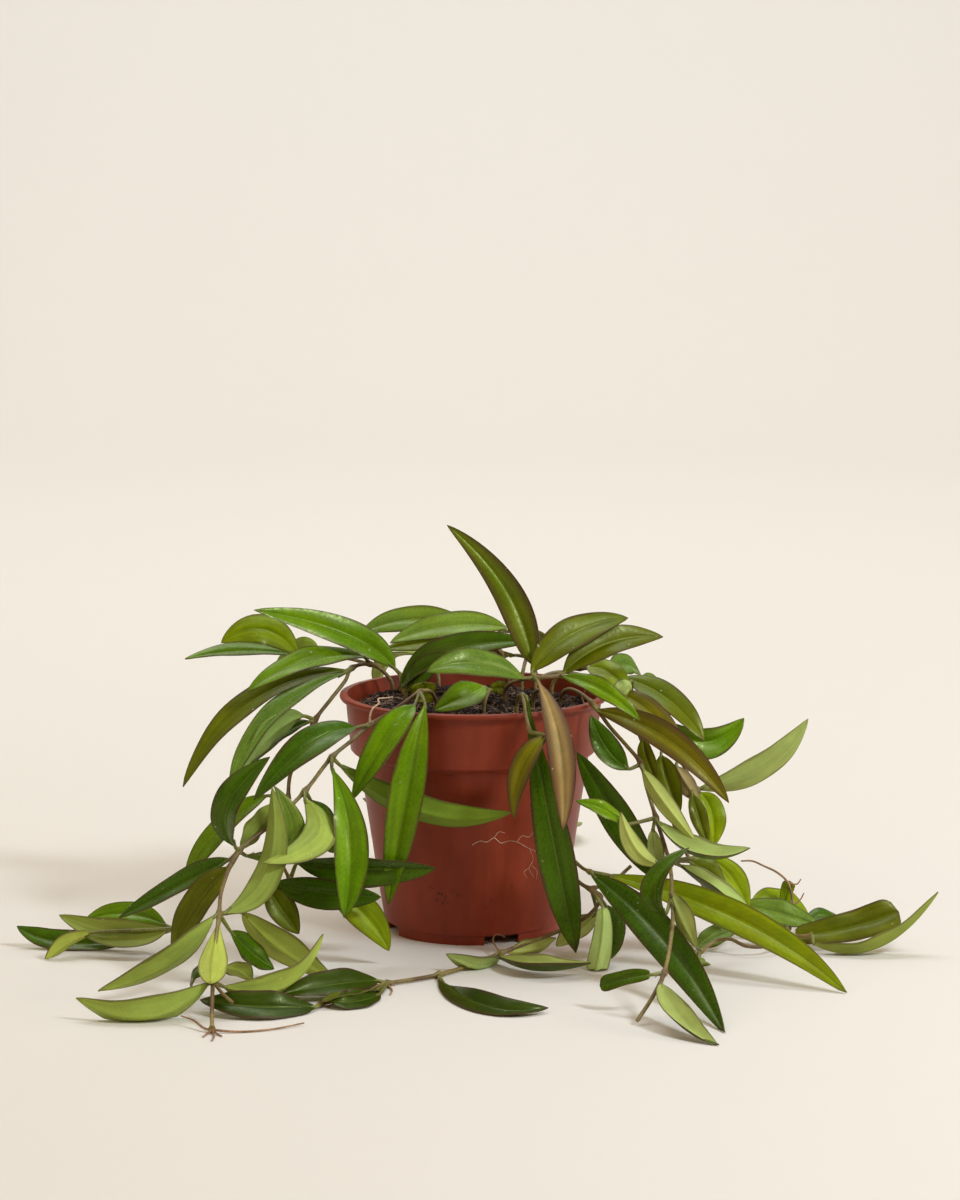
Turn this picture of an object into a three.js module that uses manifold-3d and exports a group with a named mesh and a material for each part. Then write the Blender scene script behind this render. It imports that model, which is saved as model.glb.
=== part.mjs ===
// Potted hoya: a nursery pot of thin plastic, filled with soil, and leafy stems that arch over its rim
// and trail on the surface round it. Millimetres, +Z up, the origin at the middle of the pot's foot on the
// surface that it stands on, and the side that is seen in the photograph towards -Y.

import * as THREE from "three";
import { mergeVertices } from "three/addons/utils/BufferGeometryUtils.js";
import Module from "manifold-3d";

const wasm = await Module();
wasm.setup();

// Pot, a standard 12 cm nursery pot
const RIM_RADIUS = 60;
const POT_HEIGHT = 107;
const WALL = 1.3;
const LIP_HEIGHT = 2.4;
const COLLAR_TOP_RADIUS = 57.3;
const COLLAR_FOOT_RADIUS = 55.1;
const STEP_HEIGHT = 81;
const BODY_TOP_RADIUS = 51.9;
const BODY_FOOT_RADIUS = 40.2;
const FOOT_RADIUS = 38.8;
const FOOT_HEIGHT = 4.4;
const SLOT_WIDTH = 16;
const SLOT_COUNT = 4;
const SLOT_TURN = THREE.MathUtils.degToRad(-71);
const DRAIN_RADIUS = 3;
const DRAIN_CIRCLE = 22;
const DRAIN_COUNT = 6;
const ROUND_SIDES = 40;

// Soil
const CLEARANCE = 0.35;
const SOIL_EDGE_HEIGHT = 100;
const SOIL_MOUND = 4;
const HOLE_DEPTH = 14;
const HOLE_ROOM = 0.7;

// Stems and leaves
const STEM_SIDES = 4;
const STEM_STEP = 11;
const KNOT_SWELL = 1.75;
const LEAF_THICK = 1.6;
const STALK_WIDTH = 1.9;
const LYING_GAP = 0.4;
const BLADE_STATIONS = [0.1, 0.27, 0.48, 0.7, 0.88];

// Where the photograph was taken from, worked out from the outline of the pot. A place on the plant is
// read as [across, down, depth]: its picture point in a frame of 960 by 1200, and its real y.
const EYE = new THREE.Vector3(2.9, -1783, 413);
const LOOK_DOWN = THREE.MathUtils.degToRad(8.43);
const FOCAL_LENGTH = 4038;
const PICTURE_MIDDLE = new THREE.Vector2(480, 600);

function spot([across, down, depth]) {
  const sideways = (across - PICTURE_MIDDLE.x) / FOCAL_LENGTH;
  const drop = (down - PICTURE_MIDDLE.y) / FOCAL_LENGTH;
  const ray = new THREE.Vector3(
    sideways,
    Math.cos(LOOK_DOWN) - drop * Math.sin(LOOK_DOWN),
    -Math.sin(LOOK_DOWN) - drop * Math.cos(LOOK_DOWN),
  );
  return EYE.clone().addScaledVector(ray, (depth - EYE.y) / ray.y);
}

// A place on the hidden side is given by its real x, y and z
function place(x, y, z) {
  return new THREE.Vector3(x, y, z);
}

function point(reading) {
  return reading.isVector3 ? reading : spot(reading);
}

// A leaf hangs on the stem at `node`. Its blade goes from `base` through `middle` to `tip`. `face` is the
// way that its upper side looks, `fold` the lift of each half and `twist` the turn from base to tip.
// `lean` is 1 for a blade that is widest near the middle, and more for one that is widest near its tip.
function leaf(node, base, middle, tip, width, face, fold, twist, blunt = false, lean = 1) {
  return { node, base, middle, tip, width, face, fold, twist, blunt, lean };
}

const STEMS = [
  {
    name: "stem_left_high",
    radius: 0.95,
    routes: [
      [0.95, [[392, 683, 30], [384, 672, 30], [370, 664, 26], [352, 668, 18], [345, 681, 8],
        [331, 699, 2], [315, 720, -2], [301, 748, -6], [290, 776, -9], [288, 799, -11]]],
      [0.9, [[370, 664, 26], [345, 658, 34], [320, 656, 38], [300, 657, 40]]],
    ],
    knots: [[370, 664, 26], [315, 720, -2]],
    leaves: [
      leaf([352, 668, 18], [345, 671, 14], [251, 703, -2], [183, 787, -20], 15, [-0.3, -0.6, 0.75], 18,
        0),
      leaf([352, 668, 18], [343, 674, 8], [272, 717, -14], [230, 790, -32], 15, [-0.5, -0.5, 0.7], 14, 0),
      leaf([370, 664, 26], [364, 657, 22], [306, 661, 4], [247, 692, -12], 14, [0, -0.55, 0.8], 12, 0),
      leaf([300, 657, 40], [298, 655, 40], [262, 630, 36], [221, 643, 30], 15, [0, -0.9, 0.45], 10, 0),
      leaf([300, 657, 40], [293, 655, 44], [240, 652, 46], [185, 659, 44], 13, [0, -0.3, 0.95], 16, 0),
      leaf([320, 656, 38], [318, 651, 40], [296, 655, 46], [271, 685, 50], 14, [-0.3, -0.7, 0.6], 10, 0),
      leaf([315, 720, -2], [303, 716, -6], [272, 733, -16], [243, 770, -26], 15, [-0.4, 0.75, 0.5], 10,
        0),
      leaf([315, 720, -2], [309, 722, -4], [279, 738, -4], [249, 768, -8], 12.5, [-0.3, -0.3, 0.9], 12,
        0),
      leaf([288, 799, -11], [266, 796, -14], [220, 832, -20], [184, 884, -26], 15, [-0.6, -0.6, 0.5], 14,
        0),
      leaf([288, 799, -11], [284, 812, -16], [276, 850, -24], [262, 892, -34], 14, [0.5, -0.8, 0.2], 14,
        0),
    ],
  },
  {
    name: "stem_left_front",
    radius: 0.95,
    routes: [
      [0.95, [[436, 702, -26], [431, 692, -32], [420, 692, -42], [404, 703, -50], [388, 714, -53],
        [370, 725, -54], [351, 741, -60], [332, 757, -65], [305, 791, -74], [272, 824, -86],
        [239, 851, -98], [222, 889, -113], [219, 914, -125], [215, 950, -146], [213, 981, -165],
        [212, 1010, -181], [212, 1030, -192]]],
      [0.85, [[239, 851, -98], [216, 884, -84], [192, 915, -68], [173, 929, -58]]],
      [0.85, [[272, 824, -86], [274, 846, -82], [282, 864, -78], [290, 880, -74]]],
      [0.8, [[213, 981, -165], [222, 993, -168], [233, 1003, -170]]],
    ],
    knots: [[370, 725, -54], [332, 757, -65], [305, 791, -74], [239, 851, -98], [212, 1030, -192]],
    leaves: [
      leaf([420, 692, -42], [414, 706, -56], [386, 740, -66], [352, 800, -66], 15, [-0.4, -0.8, 0.3], 16,
        0),
      leaf([420, 692, -42], [425, 706, -60], [408, 785, -71], [388, 905, -68], 16, [0, -1, 0.1], 17, 0,
        false, 1.3),
      leaf([370, 725, -54], [355, 728, -60], [309, 746, -74], [254, 800, -84], 16, [-0.3, -0.75, 0.55],
        14, 0),
      leaf([332, 757, -65], [332, 769, -74], [350, 838, -90], [344, 918, -96], 16.5, [0.15, -1, 0.05], 24,
        0, false, 1.4),
      leaf([332, 757, -65], [341, 766, -62], [426, 813, -60], [512, 812, -62], 16, [0, 0.85, 0.5], 16, 0),
      leaf([305, 791, -74], [305, 799, -80], [318, 836, -98], [263, 863, -118], 15, [0.3, 0.85, 0.3], 14,
        0),
      leaf([305, 791, -74], [311, 801, -70], [322, 826, -68], [333, 853, -66], 14, [0.4, -0.8, 0.3], 10,
        0),
      leaf([239, 851, -98], [235, 846, -102], [229, 806, -108], [270, 757, -108], 16, [-0.65, -0.75, 0.1],
        16, 0),
      leaf([239, 851, -98], [248, 856, -94], [291, 838, -92], [274, 786, -96], 13, [0.75, -0.6, 0.2], 12,
        0),
      leaf([239, 851, -98], [241, 849, -92], [258, 826, -88], [274, 803, -84], 12, [-0.6, 0.7, 0.3], 8,
        0),
      leaf([219, 914, -125], [226, 912, -122], [268, 869, -112], [272, 787, -108], 14, [0.5, 0.8, 0.2],
        16, 0),
      leaf([239, 851, -98], [229, 860, -96], [180, 886, -84], [119, 918, -72], 15, [-0.1, -0.55, 0.8], 16,
        0),
      leaf([239, 851, -98], [230, 868, -100], [197, 905, -98], [172, 952, -96], 15, [-0.5, -0.8, 0.3], 14,
        0),
      leaf([219, 914, -125], [214, 917, -128], [171, 962, -138], [98, 991, -140], 16, [-0.3, 0.75, 0.6],
        16, 0),
      leaf([219, 914, -125], [219, 921, -128], [214, 955, -150], [211, 984, -172], 12.5, [0, 1, -0.4], 10,
        0, false, 1.7),
      leaf([213, 981, -165], [208, 984, -166], [145, 1017, -176], [76, 998, -172], 18, [0, 0.85, 0.5], 16,
        0),
      leaf([213, 981, -165], [225, 987, -160], [287, 984, -142], [323, 934, -122], 18, [0.2, 0.85, 0.5],
        12, 0),
      leaf([219, 914, -125], [243, 913, -112], [283, 951, -106], [333, 978, -102], 18, [0.2, 0.85, 0.5],
        12, 0),
      leaf([219, 914, -125], [231, 932, -120], [250, 952, -112], [274, 969, -106], 12.5, [0.2, -0.7, 0.7],
        10, 0),
      leaf([213, 981, -165], [224, 968, -150], [238, 970, -142], [252, 981, -138], 11.5, [0, 0.8, 0.6],
        10, 0),
      leaf([213, 981, -165], [206, 972, -152], [196, 974, -142], [191, 987, -136], 7, [0, -0.8, 0.6], 10,
        0),
      leaf([290, 880, -74], [298, 862, -74], [366, 868, -72], [436, 868, -68], 17, [0, -0.85, -0.35], 24,
        0),
      leaf([290, 880, -74], [272, 884, -76], [328, 893, -82], [381, 897, -84], 14.5, [0, -0.95, -0.1], 16,
        0),
      leaf([290, 880, -74], [330, 893, -76], [364, 914, -76], [389, 951, -76], 15, [0.3, -0.95, 0.15], 14,
        0),
      leaf([290, 880, -74], [268, 888, -78], [282, 910, -80], [299, 934, -82], 13, [0.4, -0.9, 0.1], 12,
        0),
      leaf([173, 929, -58], [167, 929, -58], [119, 937, -58], [59, 915, -52], 16, [0, 0.7, -0.7], -24, 0),
      leaf([173, 929, -58], [140, 940, -48], [62, 942, -44], [17, 926, -42], 11.5, [-0.1, -0.7, 0.7], 16,
        0),
      leaf([173, 929, -58], [90, 933, -60], [64, 944, -64], [45, 962, -66], 9, [-0.4, 0.8, 0.5], 10, 0),
      leaf([173, 929, -58], [165, 925, -52], [126, 914, -46], [84, 921, -44], 12, [0, -0.75, 0.65], 12,
        0),
    ],
  },
  {
    name: "stem_right_front",
    radius: 0.95,
    routes: [
      [0.95, [[533, 700, -20], [537, 691, -28], [543, 693, -42], [548, 712, -57], [551, 760, -60],
        [556, 820, -60], [564, 862, -62], [579, 882, -66], [600, 897, -68], [590, 914, -64],
        [572, 925, -62], [552, 934, -62], [527, 943, -62], [501, 953, -66], [470, 965, -82],
        [439, 976, -98], [412, 981, -107], [387, 985, -114], [352, 997, -134], [320, 1006, -150]]],
      [0.85, [[590, 889, -67], [612, 882, -62], [631, 866, -58]]],
      [0.85, [[556, 820, -60], [566, 850, -61], [580, 866, -64], [590, 872, -72]]],
    ],
    knots: [[501, 953, -66], [439, 976, -98], [387, 985, -114]],
    leaves: [
      leaf([590, 872, -72], [593, 875, -78], [668, 944, -127], [725, 1034, -193], 16.5, [-0.1, -1, 0.15],
        14, 0),
      leaf([590, 872, -72], [612, 876, -74], [745, 923, -98], [847, 994, -127], 15, [-0.2, -0.75, 0.65],
        14, 0),
      leaf([592, 890, -67], [603, 908, -72], [602, 940, -80], [595, 973, -88], 10.5, [0.1, 1, 0.1], 20, 0,
        true),
      leaf([592, 890, -67], [606, 906, -66], [612, 932, -66], [607, 961, -68], 12.5, [0.5, -0.85, 0.1],
        12, 0),
      leaf([592, 890, -67], [596, 914, -58], [577, 930, -54], [556, 946, -54], 13, [-0.2, 0.85, 0.5], 10,
        0),
      leaf([501, 953, -66], [499, 958, -70], [479, 967, -84], [446, 954, -88], 13, [0, 0.8, 0.6], 12, 0),
      leaf([501, 953, -66], [500, 958, -74], [540, 971, -98], [591, 963, -96], 16, [0, 0.1, -1], -42, 0),
      leaf([501, 953, -66], [508, 951, -64], [532, 948, -60], [556, 938, -58], 11.5, [0, 0.8, 0.6], 10,
        0),
      leaf([439, 976, -98], [440, 987, -106], [487, 1009, -154], [548, 1008, -158], 15, [0, -0.6, 0.8],
        22, 0),
      leaf([387, 985, -114], [378, 981, -116], [333, 985, -132], [281, 995, -144], 15, [0, -0.6, 0.8], 16,
        0),
      leaf([387, 985, -114], [380, 990, -122], [350, 995, -140], [322, 1001, -154], 12.5, [0, 0.25, 0.95],
        10, 0),
      leaf([387, 985, -114], [379, 995, -132], [355, 1002, -148], [331, 1002, -152], 12.5, [0, -0.7, 0.7],
        12, 0),
      leaf([320, 1006, -150], [314, 1007, -156], [258, 1007, -166], [200, 1000, -160], 15, [0, -0.65,
        0.75], 14, 0),
    ],
  },
  {
    name: "stem_right_mid",
    radius: 0.95,
    routes: [
      [0.95, [[561, 697, -8], [566, 690, -14], [576, 691, -24], [592, 703, -36], [610, 727, -44],
        [626, 745, -48], [641, 764, -52], [646, 785, -55], [656, 818, -62], [669, 861, -74],
        [672, 895, -102], [672, 930, -136], [664, 973, -160], [652, 998, -172], [637, 1021, -180]]],
    ],
    knots: [[641, 764, -52], [656, 818, -62], [664, 973, -160]],
    leaves: [
      leaf([592, 703, -36], [598, 711, -40], [670, 741, -58], [729, 803, -66], 13, [-0.2, -0.85, 0.5], 16,
        0),
      leaf([641, 764, -52], [628, 769, -54], [606, 748, -50], [591, 715, -46], 12.5, [0.3, -0.9, 0.2], 16,
        0),
      leaf([641, 764, -52], [643, 770, -58], [664, 802, -68], [696, 842, -72], 8.5, [-0.3, 0.85, 0.4], 16,
        0),
      leaf([656, 818, -62], [657, 822, -66], [699, 857, -76], [750, 848, -74], 17, [0, 0.35, -0.94], -42,
        0),
      leaf([656, 818, -62], [653, 829, -66], [656, 850, -70], [664, 870, -74], 7, [0, 1, 0], 8, 0),
      leaf([669, 861, -74], [659, 864, -76], [635, 848, -80], [621, 812, -78], 9, [-0.5, 0.85, 0.3], 18,
        0),
      leaf([669, 861, -74], [658, 880, -66], [617, 816, -58], [577, 752, -52], 15, [-0.5, -0.8, 0.4], 12,
        0),
      leaf([656, 818, -62], [624, 824, -74], [603, 810, -78], [576, 801, -78], 8, [0, -0.7, 0.7], 14, 0),
      leaf([672, 895, -102], [665, 914, -124], [657, 884, -124], [689, 848, -112], 13, [-0.55, -0.6, 0.5],
        26, 0),
      leaf([672, 895, -102], [673, 896, -112], [683, 920, -126], [697, 948, -134], 11.5, [0.5, 0.85, 0.2],
        12, 0),
      leaf([664, 973, -160], [650, 975, -162], [628, 978, -160], [600, 986, -154], 7.5, [0, -0.8, 0.6],
        14, 0, true),
      leaf([664, 973, -160], [661, 985, -166], [678, 1022, -190], [719, 1048, -213], 15, [0, 0.1, -1],
        -42, 0),
      leaf([669, 861, -74], [681, 866, -68], [713, 892, -66], [748, 907, -62], 15, [0, 0.35, -0.94], -42,
        0),
      leaf([669, 861, -74], [690, 862, -64], [708, 872, -62], [725, 886, -60], 11.5, [0.3, -0.85, 0.45],
        10, 0),
      leaf([669, 861, -74], [710, 858, -56], [733, 880, -54], [748, 909, -54], 12.5, [0.5, -0.85, 0.2],
        12, 0),
    ],
  },
  {
    name: "stem_right_high",
    radius: 0.95,
    routes: [
      [0.95, [[552, 686, 22], [560, 674, 20], [580, 668, 16], [606, 672, 10], [632, 682, 4],
        [654, 702, -4], [668, 730, -12], [680, 758, -18], [694, 786, -22]]],
    ],
    knots: [],
    leaves: [
      leaf([580, 668, 16], [588, 668, 4], [608, 673, -4], [634, 697, -14], 12.5, [0.1, -0.7, 0.7], 12, 0),
      leaf([606, 672, 10], [622, 678, -2], [668, 700, -16], [704, 741, -26], 15, [0.3, -0.7, 0.6], 12, 0),
      leaf([606, 672, 10], [616, 690, -16], [651, 713, -32], [683, 744, -40], 11.5, [0.1, -0.8, 0.6], 12,
        0),
      leaf([606, 672, 10], [612, 676, 16], [626, 665, 24], [641, 677, 28], 13, [0, -0.7, 0.7], 10, 0),
      leaf([632, 682, 4], [640, 680, 10], [650, 682, 14], [656, 690, 16], 8, [0.2, -0.8, 0.5], 10, 0),
      leaf([632, 682, 4], [630, 682, -20], [623, 689, -22], [612, 698, -22], 9, [0.2, 0.9, 0.3], 8, 0),
      leaf([654, 702, -4], [668, 722, 0], [706, 741, 4], [744, 718, 10], 17, [0, -0.95, -0.1], 30, 30),
      leaf([694, 786, -22], [700, 789, -22], [766, 766, -20], [808, 719, -14], 14, [0.2, 0.85, 0.5], 12,
        0),
      leaf([694, 786, -22], [700, 793, -26], [712, 815, -30], [713, 847, -32], 12.5, [0.3, -0.95, 0.1],
        12, 0),
      leaf([694, 786, -22], [692, 794, -32], [699, 818, -38], [708, 845, -40], 8, [0.2, -0.95, 0.1], 12,
        0),
      leaf([680, 758, -18], [676, 766, -24], [686, 784, -28], [699, 801, -30], 9, [-0.4, 0.8, 0.4], 12,
        0),
      leaf([668, 730, -12], [661, 756, -20], [668, 782, -26], [680, 813, -30], 12.5, [-0.2, -0.95, 0.1],
        12, 0),
      leaf([654, 702, -4], [643, 738, -14], [648, 760, -20], [658, 782, -26], 8, [-0.3, -0.95, 0], 12, 0),
    ],
  },
  {
    name: "stem_right_far",
    radius: 0.95,
    routes: [
      [0.95, [[536, 683, 30], [544, 676, 34], [560, 672, 38], [584, 676, 40], [610, 690, 38],
        [634, 724, 30], [660, 790, 12], [690, 860, -10], [720, 908, -26], [760, 930, -40],
        [789, 936, -48], [812, 936, -52]]],
      [0.9, [[789, 936, -48], [768, 946, -58], [746, 946, -60], [730, 939, -56], [716, 941, -54],
        [700, 952, -60]]],
    ],
    knots: [],
    leaves: [
      leaf([720, 908, -26], [740, 906, -28], [780, 914, -30], [820, 927, -32], 14, [0, -0.65, 0.75], 12,
        0),
      leaf([720, 908, -26], [752, 902, -18], [782, 901, -12], [808, 914, -10], 14, [0, -0.5, 0.85], 12,
        0),
      leaf([789, 936, -48], [784, 912, -20], [786, 894, -18], [790, 881, -18], 6, [0, -1, 0], 10, 0,
        true),
      leaf([812, 936, -52], [806, 922, -16], [824, 917, -12], [844, 922, -10], 10.5, [0, -0.4, 0.9], 10,
        0),
      leaf([789, 936, -48], [796, 936, -46], [850, 928, -44], [899, 912, -40], 16, [0, -0.8, 0.6], 16, 0,
        true),
      leaf([812, 936, -52], [814, 944, -56], [878, 945, -58], [938, 892, -50], 13, [0, 0.5, 0.85], 20, 0),
      leaf([700, 952, -60], [698, 948, -54], [716, 936, -46], [742, 925, -40], 10.5, [0, -0.7, 0.7], 12,
        0),
      leaf([700, 952, -60], [694, 954, -64], [688, 951, -66], [680, 944, -66], 6, [0, 0.8, 0.6], 8, 0,
        true),
      leaf([700, 952, -60], [699, 959, -68], [702, 965, -74], [706, 970, -78], 5.5, [0, -0.8, 0.6], 8, 0,
        true),
    ],
  },
  {
    name: "stem_centre",
    radius: 0.95,
    routes: [
      [0.95, [[505, 691, -6], [510, 684, -14], [520, 680, -28], [534, 678, -44], [548, 677, -46],
        [562, 675, -42]]],
    ],
    knots: [],
    leaves: [
      leaf([534, 678, -44], [533, 664, -36], [506, 588, -26], [447, 525, -20], 15, [-0.2, -1, 0.1], 22, 0,
        false, 0.75),
      leaf([534, 678, -44], [523, 678, -48], [474, 664, -62], [427, 672, -70], 15, [0, -0.75, 0.65], 14,
        0),
      leaf([534, 678, -44], [532, 671, -42], [573, 635, -32], [628, 618, -18], 16, [-0.3, -0.85, 0.4], 16,
        0),
      leaf([534, 678, -44], [538, 682, -52], [560, 745, -80], [563, 830, -86], 12, [0, -1, 0.1], 10, 0,
        false, 1.3),
      leaf([562, 675, -42], [564, 677, -48], [602, 690, -58], [640, 721, -62], 9.5, [0.1, -0.8, 0.6], 16,
        0),
      leaf([562, 675, -42], [564, 673, -38], [608, 644, -28], [663, 637, -18], 15, [0, -0.8, 0.6], 18, 0),
    ],
  },
  {
    name: "stem_hanging",
    radius: 0.95,
    routes: [
      [0.85, [[517, 704, -34], [519, 696, -42], [522, 695, -52], [524, 702, -62], [526, 716, -64],
        [530, 732, -66]]],
    ],
    knots: [],
    leaves: [
      leaf([522, 695, -52], [527, 698, -60], [548, 815, -70], [576, 953, -66], 17, [-0.05, -1, 0.1], 15,
        0, false, 1.9),
      leaf([530, 732, -66], [546, 737, -76], [522, 768, -80], [514, 818, -74], 10.5, [-0.4, -0.9, 0.1],
        16, 0),
    ],
  },
  {
    name: "stem_top",
    radius: 0.95,
    routes: [
      [0.95, [[405, 692, 6], [403, 684, 8], [402, 676, 12]]],
    ],
    knots: [],
    leaves: [
      leaf([402, 676, 12], [394, 668, 14], [346, 634, 18], [254, 610, 4], 15, [-0.1, -0.8, 0.6], 12, 0),
      leaf([404, 690, 6.5], [400, 690, 8], [446, 652, 0], [536, 642, -8], 16, [0.1, -0.65, 0.75], 14, 0),
      leaf([402.6, 680.5, 10], [408, 691, 4], [424, 671, -2], [452, 655, -8], 13, [0, -0.75, 0.65], 12,
        0),
    ],
  },
  {
    name: "stem_top_back",
    radius: 0.95,
    routes: [
      [0.95, [[508, 681, 36], [506, 670, 34], [500, 652, 30], [490, 638, 26]]],
    ],
    knots: [],
    leaves: [
      leaf([490, 638, 26], [476, 628, 30], [412, 620, 34], [361, 634, 30], 14, [0, -0.75, 0.65], 12, 0),
      leaf([490, 638, 26], [506, 628, 28], [450, 626, 26], [390, 643, 20], 15, [0, -0.65, 0.75], 12, 0),
      leaf([500, 652, 30], [472, 638, 34], [430, 642, 38], [384, 650, 36], 12.5, [0, -0.6, 0.8], 12, 0),
      leaf([490, 638, 26], [500, 632, 34], [530, 634, 44], [556, 652, 54], 13, [0.2, 0.3, 0.9], 12, 0),
    ],
  },
  {
    name: "leaf_on_soil",
    radius: 0.95,
    routes: [
      [0.85, [[484, 706, -30], [486, 698, -30], [488, 690, -28]]],
    ],
    knots: [],
    leaves: [
      leaf([488, 690, -28], [484, 687, -30], [464, 697, -38], [434, 711, -44], 15, [-0.1, -0.75, 0.65],
        12, 0),
      leaf([488, 690, -28], [492, 690, -26], [498, 688, -26], [504, 689, -26], 7, [0, -0.9, 0.4], 8, 0,
        true),
    ],
  },
  {
    name: "leaf_stub",
    radius: 0.95,
    routes: [
      [0.95, [[422, 700, -20], [422, 697, -20], [422, 694, -20]]],
    ],
    knots: [],
    leaves: [
      leaf([422, 697, -20], [424, 703, -22], [424, 694, -21], [423, 682, -21], 12, [0, -1, 0.1], 14, 0,
        true),
    ],
  },
  {
    name: "stem_back_left",
    radius: 0.95,
    routes: [
      [0.95, [place(-16, 40, 106), place(-17, 45, 111), place(-19, 56, 114), place(-22, 66, 108),
        place(-26, 76, 88), place(-31, 88, 60), place(-36, 104, 32), place(-36, 126, 10),
        place(-30, 150, 4), place(-22, 176, 3)]],
    ],
    knots: [],
    leaves: [
      leaf(place(-19, 56, 114), place(-25, 60, 114), place(-39, 78, 110), place(-46, 98, 92), 13, [-0.4,
        0.5, 0.8], 14, 0),
      leaf(place(-26, 76, 88), place(-19, 80, 88), place(-1, 84, 78), place(13, 84, 54), 14, [0.2, 0.9,
        0.4], 14, 0),
      leaf(place(-26, 76, 88), place(-32, 80, 88), place(-42, 84, 72), place(-45, 84, 42), 14, [-0.4, 0.9,
        0.3], 14, 0),
      leaf(place(-31, 88, 60), place(-25, 92, 60), place(-9, 100, 48), place(3, 104, 22), 15, [0.2, 0.9,
        0.4], 14, 0),
      leaf(place(-36, 104, 32), place(-40, 108, 32), place(-46, 124, 34), place(-44, 150, 22), 15, [-0.3,
        0.2, 0.9], 14, 0),
      leaf(place(-36, 126, 10), place(-29, 128, 11), place(-8, 138, 15), place(14, 152, 8), 15, [0.1, 0.5,
        0.85], 14, 0),
      leaf(place(-22, 176, 3), place(-26, 180, 5), place(-34, 196, 9), place(-38, 213, 3), 14, [-0.2, 0.4,
        0.9], 14, 0),
      leaf(place(-22, 176, 3), place(-17, 179, 5), place(2, 190, 9), place(18, 206, 3), 14, [0.2, 0.4,
        0.9], 14, 0),
    ],
  },
  {
    name: "stem_back_right",
    radius: 0.95,
    routes: [
      [0.95, [place(22, 38, 106), place(23, 44, 111), place(25, 56, 114), place(28, 65, 108),
        place(32, 72, 88), place(36, 80, 62), place(39, 94, 36), place(38, 116, 12), place(40, 140, 4),
        place(34, 168, 3)]],
    ],
    knots: [],
    leaves: [
      leaf(place(25, 56, 114), place(19, 60, 114), place(3, 72, 108), place(-7, 84, 92), 14, [0, 0.6,
        0.8], 14, 0),
      leaf(place(32, 72, 88), place(37, 74, 86), place(46, 78, 70), place(47, 80, 42), 13, [0.4, 0.9,
        0.3], 14, 0),
      leaf(place(36, 80, 62), place(30, 86, 61), place(22, 96, 50), place(20, 106, 28), 14, [-0.1, 0.9,
        0.4], 14, 0),
      leaf(place(39, 94, 36), place(42, 99, 38), place(47, 116, 44), place(46, 140, 36), 14, [0.3, 0.1,
        0.9], 14, 0),
      leaf(place(38, 116, 12), place(32, 120, 13), place(22, 122, 24), place(8, 120, 36), 12.5, [0, 0.7,
        0.7], 14, 0),
      leaf(place(34, 168, 3), place(29, 171, 5), place(26, 184, 11), place(32, 214, 4), 13, [-0.1, 0.4,
        0.9], 14, 0),
      leaf(place(34, 168, 3), place(38, 171, 5), place(47, 184, 9), place(49, 206, 3), 12.5, [0.3, 0.3,
        0.9], 14, 0),
    ],
  },
];

// Closed meshes and solids
function toSolid(geometry) {
  const bare = geometry.index ? geometry.toNonIndexed() : geometry.clone();
  bare.deleteAttribute("normal");
  bare.deleteAttribute("uv");
  const merged = mergeVertices(bare, 1e-4);
  const solid = new wasm.Manifold(new wasm.Mesh({
    numProp: 3,
    vertProperties: new Float32Array(merged.attributes.position.array),
    triVerts: new Uint32Array(merged.index.array),
  }));
  return solid;
}

function toGeometry(solid) {
  const mesh = solid.getMesh();
  const geometry = new THREE.BufferGeometry();
  geometry.setAttribute("position", new THREE.BufferAttribute(new Float32Array(mesh.vertProperties), 3));
  geometry.setIndex(new THREE.BufferAttribute(new Uint32Array(mesh.triVerts), 1));
  geometry.computeVertexNormals();
  return geometry;
}

function placed(geometry, x, y, z, turn = 0) {
  geometry.rotateZ(turn);
  geometry.translate(x, y, z);
  return toSolid(geometry);
}

function upright(radius, height, x, y, bottom, sides) {
  const geometry = new THREE.CylinderGeometry(radius, radius, height, sides);
  geometry.rotateX(Math.PI / 2);
  return placed(geometry, x, y, bottom + height / 2);
}

function lathe(profile) {
  const outline = profile.map(([radius, height]) => new THREE.Vector2(radius, height));
  const geometry = new THREE.LatheGeometry(outline, ROUND_SIDES);
  geometry.rotateX(Math.PI / 2);
  return toSolid(geometry);
}

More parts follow.
